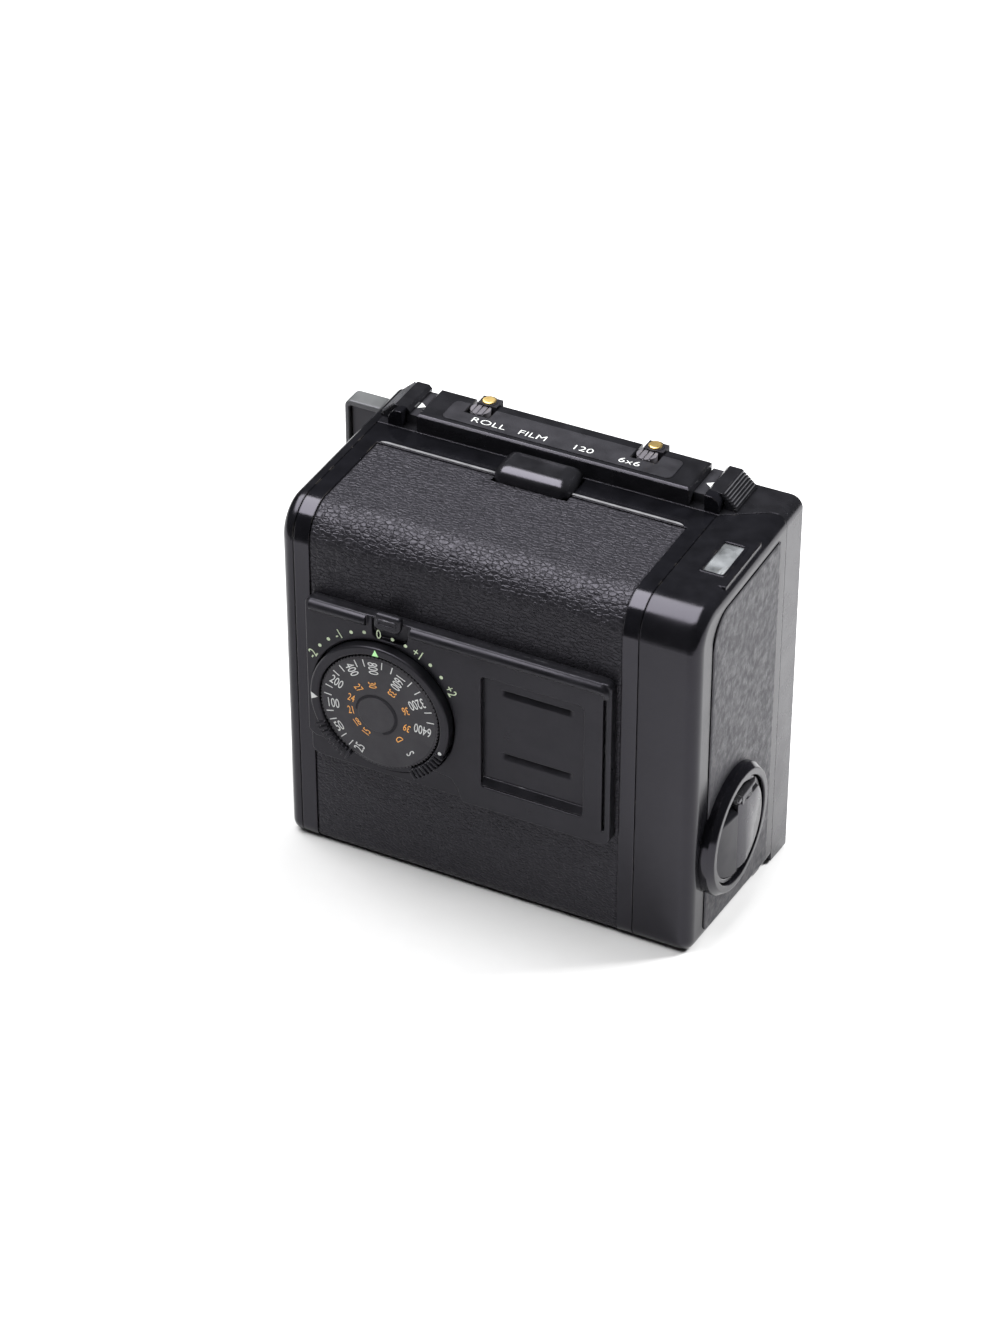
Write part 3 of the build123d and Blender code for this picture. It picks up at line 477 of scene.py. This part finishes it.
def grid_piece(name, pos, keep, body, material):
    """A mesh over a grid of points, leaving out the cells that aren't kept."""
    rows, cols = pos.shape[:2]
    index = np.arange(rows * cols).reshape(rows, cols)
    quads = np.stack([index[:-1, :-1], index[:-1, 1:], index[1:, 1:], index[1:, :-1]], -1)
    quads = quads[keep].reshape(-1, 4)
    mesh = bpy.data.meshes.new(name)
    mesh.vertices.add(rows * cols)
    mesh.vertices.foreach_set("co", (pos.reshape(-1, 3) * MM - np.array([0, 0, DROP * MM])).ravel())
    mesh.loops.add(quads.size)
    mesh.loops.foreach_set("vertex_index", quads.ravel().astype(np.int32))
    mesh.polygons.add(len(quads))
    mesh.polygons.foreach_set("loop_start", np.arange(0, quads.size, 4, dtype=np.int32))
    mesh.update(calc_edges=True)
    mesh.validate()
    obj = bpy.data.objects.new(name, mesh)
    scene.collection.objects.link(obj)
    bm = bmesh.new()
    bm.from_mesh(mesh)
    bmesh.ops.delete(bm, geom=[v for v in bm.verts if not v.link_faces], context="VERTS")
    bm.to_mesh(mesh)
    bm.free()
    return settle(obj, body, material, 180)


STEP = 0.22


def cover_skin():
    """Pebbled leather that runs over the cover's top, round the bend and down the rear."""
    x0, x1 = -39.36, 29.76
    notch = (-12.5, 4.5)
    sunk = 0.10
    r_top, r_low = 7.8 - sunk, 3.2
    top, back = TOP - sunk, BACK + sunk
    path, normals = [], []

    def run(a, b, n):
        count = max(2, int(math.dist(a, b) / STEP))
        for k in range(count):
            t = k / count
            path.append((a[0] + (b[0] - a[0]) * t, a[1] + (b[1] - a[1]) * t))
            normals.append(n)

    def bend(c, r, start, end):
        count = max(4, int(abs(end - start) * r / STEP))
        for k in range(count):
            t = start + (end - start) * k / count
            path.append((c[0] + r * math.cos(t), c[1] + r * math.sin(t)))
            normals.append((math.cos(t), math.sin(t)))

    run((4.34, top), (2.3, top), (0, 1))
    notch_rows = len(path)
    run((2.3, top), (back + r_top, top), (0, 1))
    bend((back + r_top, top - r_top), r_top, math.pi / 2, math.pi)
    low_c = (back + r_low, belly(back + r_low) + sunk + r_low / math.cos(TILT))
    run((back, top - r_top), (back, low_c[1]), (-1, 0))
    bend(low_c, r_low, math.pi, 1.5 * math.pi - TILT)
    run((low_c[0] - r_low * math.sin(TILT), low_c[1] - r_low * math.cos(TILT)),
        (-18.15, belly(-18.15) + sunk), (-math.sin(TILT), -math.cos(TILT)))
    path = np.array(path)
    normals = np.array(normals)
    travelled = np.concatenate([[0], np.cumsum(np.hypot(*np.diff(path, axis=0).T))])
    left = np.linspace(x0, notch[0], max(2, int((notch[0] - x0) / STEP)), endpoint=False)
    mid = np.linspace(notch[0], notch[1], max(2, int((notch[1] - notch[0]) / STEP)), endpoint=False)
    right = np.linspace(notch[1], x1, max(2, int((x1 - notch[1]) / STEP)))
    xs = np.concatenate([left, mid, right])
    u, v = np.meshgrid(xs, travelled)
    v = v.copy()
    h = pebbles(u + 100, v + 100, 0.9, 11)
    # creases stretch open over the bend
    over = np.exp(-((v - 27.0) / 7.5) ** 2)
    wave = v + 0.5 * smooth_noise(u, v, 2.6, 22)
    long1, long2 = cell_field((u + 60) * 0.5, (wave + 60) * 1.1, 1.1, 21)
    h = h * (1 - 0.7 * over) - 0.17 * over * (1 - np.clip((long2 - long1) / 0.26, 0, 1)) ** 1.6
    border = np.minimum(np.minimum(u - x0, x1 - u), v)
    h = h - 0.22 * np.clip(1 - border / 0.55, 0, 1) ** 2
    pos = np.zeros(u.shape + (3,))
    pos[..., 0] = u
    pos[..., 1] = path[:, 0][:, None] + normals[:, 0][:, None] * h
    pos[..., 2] = path[:, 1][:, None] + normals[:, 1][:, None] * h
    keep = np.ones((u.shape[0] - 1, u.shape[1] - 1), bool)
    keep[:notch_rows, len(left):len(left) + len(mid)] = False
    skin = grid_piece("cover_leather_skin", pos, keep, "cover", leather_black)
    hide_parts("cover_leather")


def side_skin():
    """Pebbled leather panel of the right side."""
    y0, y1, z1 = -18.0, 13.7, 84.0
    rows = int(82 / STEP)
    cols = int(31.7 / STEP)
    t = np.linspace(0, 1, cols)
    z_low = belly(np.array([y0, y1])) + 2.4
    zs = np.linspace(0, 1, rows)
    u = np.zeros((rows, cols))
    v = np.zeros((rows, cols))
    for i, s in enumerate(zs):
        ys = y0 + (y1 - y0) * t
        low = z_low[0] + (z_low[1] - z_low[0]) * t
        # rounded rear corners
        near = np.clip((y0 + 6.5 - ys) / 6.5, 0, 1)
        high = z1 - 6.5 * (1 - np.sqrt(np.clip(1 - near ** 2, 0, 1)))
        near = np.clip((y0 + 1.6 - ys) / 1.6, 0, 1)
        low = low + 1.6 * (1 - np.sqrt(np.clip(1 - near ** 2, 0, 1)))
        u[i] = ys
        v[i] = low + (high - low) * s
    h = 0.55 * pebbles(u + 100, v + 100, 0.72, 31)
    border = np.minimum(np.minimum(u - y0, y1 - u),
                        np.minimum(v - v[0][None, :], v[-1][None, :] - v))
    h = h - 0.2 * np.clip(1 - border / 0.5, 0, 1) ** 2
    pos = np.stack([46.36 + h, u, v], -1)
    cy = (u[:-1, :-1] + u[1:, 1:]) / 2
    cz = (v[:-1, :-1] + v[1:, 1:]) / 2
    keep = np.hypot(cy + 7.2, cz - 27.0) > 13.0
    skin = grid_piece("side_leather_skin", pos, keep, "magazine_body", side_black)
    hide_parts("side_leatherette")


cover_skin()
side_skin()

# ------------------------------------------------------------------------- dial plate
DX, DZ = -21.9, 47.2                # the dial's axis
plate_parts = []
low_tier = rect(-39.3, 28.9, 29.5, 69.3, 2.0)
plate_parts.append(slab("plate_low",
                        [low_tier, circle(DX, DZ, 16.15), rect(-0.3, 23.4, 35.2, 62.8)],
                        24.65, 26.0, REAR, 0.25, "cover", satin))
main = rounded([(-39.3, 36.2), (-37.6, 35.1), (-10.2, 35.1), (-6.6, 34.6),
                (-5.2, 32.6), (-4.2, 29.5), (28.9, 29.5), (28.9, 69.3), (-39.3, 69.3)],
               [0.8, 0.6, 3.0, 1.5, 1.5, 0.6, 2.0, 1.2, 1.6])
# the dial's well opens through the plate's lower edge
corners = 2 * 8                     # points of the two corners before the well
main = main[:corners] + arc(DX, DZ, 16.2, 228.2, -48.2, 110) + main[corners:]
well = rounded([(-24.1, 64.0), (-16.1, 64.0), (-16.1, 69.0), (-24.1, 69.0)], [2.0, 2.0, 0.2, 0.2])
memo = rect(0.2, 22.9, 35.0, 62.3, 1.0)
slot_cut = rect(27.1, 27.75, 33.0, 65.4, 0.3)
plate_parts.append(slab("plate_main", [main, well, memo, slot_cut],
                        25.6, 27.2, REAR, 0.28, "cover", satin))
sill = [(35.3, 27.1), (37.0, 26.1), (35.3, 26.0)]
plate_parts.append(loft("plate_sill", [[(x, -depth, z) for z, depth in sill] for x in (0.3, 22.8)],
                        "cover", satin, 20))


def bead():
    """Rounded bar along the plate's top edge, its right end curled down."""
    curve = bpy.data.curves.new("plate_bead", "CURVE")
    curve.dimensions = "3D"
    curve.bevel_depth = 1.25
    curve.bevel_resolution = 6
    curve.use_fill_caps = True
    spans = [[(-38.0, 68.0), (-25.2, 68.0)],
             [(-15.0, 68.0), (26.4, 68.0), (27.4, 67.5), (27.9, 66.6), (27.6, 66.0)]]
    for pts in spans:
        spline = curve.splines.new("POLY")
        spline.points.add(len(pts) - 1)
        for i, (p, (x, z)) in enumerate(zip(spline.points, pts)):
            p.co = (x, -27.1, z, 1)
            p.radius = 1.0 if i < 2 else (0.8, 0.55, 0.4)[min(2, i - 2)]
    obj = bpy.data.objects.new("plate_bead", curve)
    scene.collection.objects.link(obj)
    obj.matrix_world = TO_FRAME
    return settle(baked(obj), "cover", satin, 50)


plate_parts.append(bead())
plate = joined("dial_plate_detail", plate_parts)
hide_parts("dial_plate")


def memo_pad():
    """Pad in the memo window with two scooped creases."""
    x0, x1, z0, z1 = -0.6, 23.7, 36.1, 63.1
    xs = np.linspace(x0, x1, 98)
    zs = np.linspace(z0, z1, 220)
    u, v = np.meshgrid(xs, zs)
    depth = np.zeros(u.shape)
    for zc in (59.6, 44.0):
        along = np.clip((u - 4.3) / 0.8, 0, 1) * np.clip((20.2 - u) / 0.8, 0, 1)
        below = zc - v
        crease = np.where(below > 0, np.clip(1 - below / 1.6, 0, 1) ** 1.2, 0)
        depth = np.maximum(depth, 0.6 * along * crease)
    depth = depth + 0.012 * smooth_noise(u + 40, v + 40, 3.0, 5)
    pos = np.stack([u, -26.0 + depth, v], -1)
    keep = np.ones((len(zs) - 1, len(xs) - 1), bool)
    pad = grid_piece("memo_pad_detail", pos, keep, "cover", satin)
    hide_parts("memo_pad")


memo_pad()

# ----------------------------------------------------------------------- dial and ring
ring_parts = [
    slab("ring_base", [circle(DX, DZ, 15.7), circle(DX, DZ, 2.1)], 26.05, 26.7, REAR, 0.1,
         "comp_ring", satin),
    slab("ring_wall", [arc(DX, DZ, 15.8, -58, 238, 120) + arc(DX, DZ, 13.75, 238, -58, 120)],
         26.3, 29.1, REAR, 0.42, "comp_ring", satin, steps=4)]
for start, end in ((-153, -119), (-59, -25)):
    for k in range(9):
        a = math.radians(start + (end - start) * k / 8)
        side = Vector((-math.sin(a), math.cos(a))) * 0.33
        inner = Vector((DX, DZ)) + Vector((math.cos(a), math.sin(a))) * 13.8
        outer = Vector((DX, DZ)) + Vector((math.cos(a), math.sin(a))) * 16.1
        pts = [inner - side, outer - side, outer + side, inner + side]
        ring_parts.append(slab(f"rib{start}_{k}", [rounded([tuple(p) for p in pts], 0.12, 3)],
                               26.4, 29.5, REAR, 0.2, "comp_ring", satin, 2))
ring = joined("compensation_ring_detail", ring_parts)
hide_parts("compensation_ring")


def knurled(radius, teeth, depth):
    """Toothed outline of a disc on the dial's centre."""
    out = []
    for k in range(teeth):
        for part, r in ((0.0, radius - depth), (0.25, radius), (0.6, radius),
                        (0.8, radius - depth)):
            a = 2 * math.pi * (k + part) / teeth
            out.append((DX + r * math.cos(a), DZ + r * math.sin(a)))
    return out


disc = joined("film_speed_disc_detail", [
    slab("disc_face", [knurled(13.5, 96, 0.28), circle(DX, DZ, 2.1)], 26.8, 28.8, REAR, 0.14,
         "speed_disc", disc_black, 2, 30),
    slab("disc_boss", [circle(DX, DZ, 12.9), circle(DX, DZ, 2.1)], 28.5, 28.86, REAR, 0.1,
         "speed_disc", disc_black, 2)])
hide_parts("film_speed_disc")
hub = slab("hub_cap_detail", [circle(DX - 0.6, DZ - 0.8, 4.15)], 28.7, 29.02, REAR, 0.14,
           "speed_disc", disc_black, 4)
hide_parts("dial_hub_cap")
# a thin dark arc laid on the boss beside the hub cap: painted shade of the groove round the hub
outer = arc(DX - 0.6, DZ - 0.8, 4.8, 178, -70, 60)
inner = [(x + 0.16 * math.cos(0.9), z + 0.16 * math.sin(0.9))
         for x, z in arc(DX - 0.9, DZ - 1.1, 4.25, -70, 178, 60)]
slab("hub_groove_shade", [outer + inner], 28.88, 28.93, REAR, 0.01, "speed_disc", ink_and_groove_shade, 1)


def polar(radius, angle):
    """A point of the dial at a radius and an angle in degrees."""
    return (DX + radius * math.cos(math.radians(angle)),
            DZ + radius * math.sin(math.radians(angle)))


def printed(name, marks, level, body, material):
    """Small filled shapes printed on the dial face, as one object."""
    parts = [slab(f"{name}_{i}", [pts], level - 0.02, level + 0.02, REAR, 0.001, body, material,
                  1, 30) for i, pts in enumerate(marks)]
    return joined(name, parts)


# levels of the printing on the disc, the plate and the ring, behind the origin
DISC_FACE, PLATE_FACE, RING_FACE = 28.87, 27.21, 29.11
speeds = [("25", -114), ("50", -145), ("100", -174), ("200", 155), ("400", 125), ("800", 97),
          ("1600", 64), ("3200", 30), ("6400", -6)]
white = [words(f"speed_{t}", t, 3.2, 0.62, *polar(12.6 - 0.66 * len(t), a), a + 180, DISC_FACE,
               REAR, "speed_disc", print_white, "dial_plastic") for t, a in speeds]
for (_, a), (_, b) in zip(speeds[:-1], speeds[1:]):
    if b - a > 180:
        b -= 360
    if a < -150 and b > 100:
        b -= 360
    for share in (1 / 3, 2 / 3):
        t = a + (b - a) * share
        p, q = Vector(polar(12.6, t)), Vector(polar(10.9, t))
        side = Vector((-math.sin(math.radians(t)), math.cos(math.radians(t)))) * 0.1
        tick = [tuple(p - side), tuple(p + side), tuple(q + side), tuple(q - side)]
        white.append(slab("tick", [tick], DISC_FACE - 0.02, DISC_FACE + 0.02, REAR, 0.001,
                          "speed_disc", print_white, 1, 30))
white.append(words("mark_s", "S", 3.0, 0.6, *polar(10.6, -48), 132, DISC_FACE, REAR,
                   "speed_disc", print_white, "dial_plastic"))
joined("speed_numbers", white)
orange = [words(f"degree_{t}", t, 2.6, 0.62, *polar(6.55, a), a + 180, DISC_FACE, REAR,
                "speed_disc", print_orange, "dial_plastic")
          for t, a in (("15", -117), ("18", -141), ("21", -167), ("24", 166), ("27", 135),
                       ("30", 103), ("33", 63), ("36", 22), ("39", -15))]
orange.append(words("mark_d", "D", 2.6, 0.62, *polar(6.9, -48), 132, DISC_FACE, REAR,
                    "speed_disc", print_orange, "dial_plastic"))
joined("degree_numbers", orange)

scale = []
for t, a in (("-2", 152), ("-1", 123), ("0", 92), ("+1", 63), ("+2", 31)):
    scale.append(words(f"scale_{a}", t, 3.1, 0.75, *polar(18.0, a), a - 90, PLATE_FACE, REAR,
                       "cover", print_pale, "dial_plastic"))
for a in (142, 132.5, 112.5, 102.5, 82, 72.5, 52.5, 42):
    scale.append(printed(f"dot{a}", [circle(*polar(18.0, a), 0.4, 16)], PLATE_FACE, "cover",
                         print_pale))
joined("scale_marks", scale)
tri = [polar(15.45, 92), polar(13.95, 95), polar(13.95, 89)]
printed("green_index", [tri], RING_FACE, "comp_ring", print_green)
tri = [polar(14.0, -178), polar(15.5, -181), polar(15.5, -175)]
printed("white_index", [tri], RING_FACE, "comp_ring", print_white)
printed("white_spot", [circle(*polar(14.9, -22), 0.42, 16)], RING_FACE, "comp_ring", print_white)

lock = joined("lock_button_detail", [
    slab("lock_body", [rounded([(-23.2, 67.3), (-17.2, 67.3), (-16.8, 71.2), (-22.8, 71.2)],
                               [1.3, 1.3, 0.8, 0.8])], 26.9, 28.5, REAR, 0.6, "dial_lock",
         satin, 4),
    slab("lock_lip", [rect(-22.2, -17.8, 68.6, 70.2, 0.5), rect(-21.7, -18.3, 69.0, 69.8, 0.3)],
         28.2, 28.75, REAR, 0.12, "dial_lock", satin, 3)])
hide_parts("lock_button")

# --------------------------------------------------------------- release button, latches
pillow = []
for z, inset in ((87.6, 0.0), (89.0, 0.0), (89.6, 0.25), (90.2, 0.8), (90.62, 1.5), (90.86, 2.2),
                 (90.86, 2.6), (90.70, 3.3)):
    edge = rounded([(-12.3 + inset, 2.4 + inset), (4.3 - inset, 2.4 + inset),
                    (4.3 - inset, 11.0 - inset * 0.6), (-12.3 + inset, 11.0 - inset * 0.6)],
                   [max(0.5, 1.9 - inset * 0.4)] * 2 + [max(0.3, 1.2 - inset * 0.3)] * 2)
    pillow.append([(x, y, z) for x, y in edge])
button = loft("release_button_detail", pillow, "release_button", gloss_soft, 60)
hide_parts("cover_release_button")

MID = -3.55                         # middle of the nameplate, between the latches
for side in (1, -1):
    apex = MID + side * 31.5
    base = MID + side * 33.0
    # six ridges along the slope of the latch, their lit tops painted in a lightened black
    ridges = []
    brow, toe = Vector((MID + side * 36.6, 91.3)), Vector((MID + side * 40.0, 88.22))
    along = (toe - brow).normalized()
    out = Vector((side * -along.y, side * along.x))
    for k in range(6):
        foot = brow + along * (0.45 + 0.70 * k)
        section = rounded([tuple(foot + along * a + out * b)
                           for a, b in ((-0.16, -0.3), (0.16, -0.3), (0.09, 0.36), (-0.09, 0.36))],
                          0.06, 3)
        ridges.append(loft(f"ridge_{k}",
                           [[(x, y, z) for x, z in section] for y in (14.1, 23.4)],
                           f"latch_{'right' if side > 0 else 'left'}", rib_lit_black))
    joined(f"latch_ridges_{'r' if side > 0 else 'l'}", ridges)
    slab(f"latch_index_{'r' if side > 0 else 'l'}",
         [[(apex, 17.7), (base, 16.6), (base, 18.8)]], 89.88, 89.93, UP, 0.005,
         "magazine_body", print_white, 1)

words("plate_words", "ROLL   FILM      120      6x6", 2.45, 1.34, -4.2, 14.75, 0, 92.07, UP,
      "magazine_body", print_white, "inlay", -0.03)

# ---------------------------------------------------------------- dark slide handle
outline = rounded([(-54.8, 45.6), (-46.3, 45.6), (-46.3, 85.7), (-54.8, 85.7)],
                  [1.6, 0.4, 0.4, 1.6])
recess = rect(-53.7, -46.9, 47.0, 84.4, 0.5)
shell = joined("slide_handle_shell", [
    slab("handle_rim", [outline, recess], -23.3, -18.7, REAR, 0.35, "dark_slide", handle_grey),
    slab("handle_web", [rect(-53.9, -46.7, 46.8, 84.6)], -23.1, -21.2, REAR, 0.05, "dark_slide",
         handle_grey, 1)])
panel = joined("slide_handle_panel", [
    slab("panel_rear", [rect(-53.6, -47.0, 47.1, 84.3, 0.4)], -21.2, -19.6, REAR, 0.25,
         "dark_slide", handle_dark),
    slab("panel_front", [rect(-53.6, -47.0, 47.1, 84.3, 0.4)], -23.25, -23.05, REAR, 0.05,
         "dark_slide", handle_dark, 1)])
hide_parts("dark_slide_handle")
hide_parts("dark_slide_handle")

# ------------------------------------------------------------------- knob and crank
KY, KZ = -7.2, 27.0                 # the knob's axis


def scoop():
    """Hollow of the knob beside the folded crank, rising from the rim to the middle."""
    rows, cols = 60, 40
    t = np.linspace(0, 1, cols)
    pos = np.zeros((rows, cols, 3))
    for i, s in enumerate(np.linspace(-0.985, 0.60, rows)):
        z = 10.35 * s
        reach = math.sqrt(10.35 ** 2 - z * z)
        y = -reach + (reach - 0.75) * t
        rise = np.clip(1 + y / 10.35, 0, 1)
        pos[i, :, 1] = KY + y
        pos[i, :, 2] = KZ + z
        pos[i, :, 0] = 46.6 + 2.05 * rise ** 0.55 * np.clip((6.2 - z) / 1.6, 0.1, 1)
    keep = np.ones((rows - 1, cols - 1), bool)
    return grid_piece("knob_scoop", pos, keep, "knob", satin)


scoop()


def crank_outline(x, grow, lift):
    """The D of the folded crank at one height; lift pulls its straight rear edge forward."""
    r = 10.05 + grow
    flat, top = -0.45 + lift, 6.4 + grow
    low = -math.degrees(math.acos(flat / r))
    high = math.degrees(math.asin(top / r))
    pts = arc(0, 0, r, low, high, 30)
    pts += [(flat + (pts[-1][0] - flat) * (1 - k / 8), top) for k in range(1, 9)]
    foot = pts[0][1]
    pts += [(flat, top + (foot - top) * k / 20) for k in range(1, 20)]
    return [(x, KY + y, KZ + z) for y, z in pts]


grip = loft("crank_grip", [crank_outline(46.7, 0, 0), crank_outline(48.3, 0, 0.1),
                           crank_outline(48.75, 0, 1.2), crank_outline(49.1, -0.1, 2.7),
                           crank_outline(49.2, -0.3, 3.1)],
            "crank", crank_black, 28)
hinge_rings = []
for y in (0.45, 5.15):
    hinge_rings.append([(47.9 + 1.05 * math.cos(a), KY + y, KZ + 7.6 + 1.05 * math.sin(a))
                        for a in (2 * math.pi * k / 24 for k in range(24))])
knuckle = loft("crank_knuckle", hinge_rings, "crank", crank_black)
arm = loft("crank_arm", [[(x, KY + y, KZ + z) for y, z in ((0.5, 6.0), (5.1, 6.0), (5.1, 7.6),
                                                           (0.5, 7.6))] for x in (46.9, 48.9)],
           "crank", crank_black, 20)
crank = joined("crank_handle_detail", [grip, knuckle, arm])
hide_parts("crank_handle")

# --------------------------------------------------------------------- gold contacts
for side, x in (("left", -22.6), ("right", 14.8)):
    slab(f"contact_cap_{side}", [circle(x, 21.8, 1.45, 40)], 92.4, 93.0, UP, 0.26,
         f"contact_{side}", gold, 4)
    slab(f"contact_collar_{side}", [circle(x, 21.8, 1.85, 40), circle(x, 21.8, 1.27, 40)],
         92.35, 92.62, UP, 0.08, "magazine_body", ink_and_groove_shade, 2)

# ---------------------------------------------------------------------- counter window
slab("window_frame", [rect(37.9, 43.7, -8.2, 3.9, 0.7), rect(38.6, 43.0, -7.5, 3.2, 0.4)],
     87.5, 87.95, UP, 0.1, "magazine_body", gloss, 3)

drum_low, drum_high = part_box("counter_drum")
drum_y, drum_z = (drum_low.y + drum_high.y) / 2 / MM, (drum_low.z + drum_high.z) / 2 / MM + DROP
strip = []
for r, turns in ((8.98, range(0, 49)), (8.62, range(48, -1, -1))):
    for k in turns:
        a = 2 * math.pi * (k / 48.5)
        strip.append((r * math.cos(a), r * math.sin(a)))
loft("counter_strip", [[(x, drum_y + y, drum_z + z) for y, z in strip]
                       for x in (drum_high.x / MM - 3.3, drum_high.x / MM - 0.1)],
     "counter", drum_white, 50)
numbers = []
for k in range(13):
    label = words(f"count_{k}", str(k) if k else "S", 2.6, 1.0, 0, 0, 90, 9.0, UP, "counter", ink_and_groove_shade,
                  "white_plastic")
    label.data.transform(Matrix.Translation((0, 0, DROP * MM)))
    label.data.transform(Matrix.Rotation(2 * math.pi * k / 13, 4, "X"))
    label.data.transform(Matrix.Translation(point(drum_high.x / MM - 1.7, drum_y, drum_z)))
    numbers.append(label)
joined("counter_numbers", numbers)

# -------------------------------------------------------------------------- the stage
slope = math.radians(7.5)
foot = point(0, 12.0, belly(12.0) - 0.62)
floor_white = finish("floor_white", (0.47, 0.47, 0.47), 0.7, grain=[("noise", 40, 1e-5)],
                     spread=0.01, specular=0.2)
# the part of the floor far in front is kept out of reflections, like the edge of a table
FLOOR_SPLIT, FLOOR_REACH = -0.13, 6.0
for name, near, far in (("floor", FLOOR_SPLIT, FLOOR_REACH),
                        ("floor_front", -FLOOR_REACH, FLOOR_SPLIT)):
    floor_mesh = bpy.data.meshes.new(name)
    corners = [(x, y, foot.z - (y - foot.y) * math.tan(slope))
               for x, y in ((-FLOOR_REACH, near), (FLOOR_REACH, near), (FLOOR_REACH, far),
                            (-FLOOR_REACH, far))]
    floor_mesh.from_pydata(corners, [], [(0, 1, 2, 3)])
    floor = bpy.data.objects.new(name, floor_mesh)
    scene.collection.objects.link(floor)
    floor_mesh.materials.append(floor_white)
    floor.visible_glossy = name == "floor"


def softbox(name, place, aim, wide, deep, power):
    """A rectangular area light aimed at a point."""
    data = bpy.data.lights.new(name, "AREA")
    data.shape = "RECTANGLE"
    data.size = wide
    data.size_y = deep
    data.energy = power
    obj = bpy.data.objects.new(name, data)
    scene.collection.objects.link(obj)
    obj.location = place
    obj.rotation_euler = (Vector(aim) - Vector(place)).to_track_quat("-Z", "Y").to_euler()
    return obj


softbox("ceiling", (-0.45, -0.12, 1.40), (-0.05, -0.05, 0), 1.4, 1.3, 62)
softbox("right_back", (0.60, 0.72, 0.72), (0.16, 0.22, -0.08), 0.4, 0.4, 36).visible_glossy = False
softbox("left_fill", (-1.5, -0.1, 0.5), (0, 0, 0.05), 0.6, 0.6, 3.0).visible_glossy = False

world = bpy.data.worlds.new("studio")
scene.world = world
world.use_nodes = True
background = world.node_tree.nodes["Background"]
background.inputs["Color"].default_value = (0.95, 0.97, 1.0, 1.0)
background.inputs["Strength"].default_value = 0.06

camera_data = bpy.data.cameras.new("camera")
camera_data.lens = 111.27
camera_data.sensor_width = 36.0
camera = bpy.data.objects.new("camera", camera_data)
scene.collection.objects.link(camera)
camera.location = point(297.7, -607.5, 536.7)
camera.rotation_euler = (math.radians(54.2), 0, math.radians(26.8))
scene.camera = camera
scene.view_settings.view_transform = "Standard"
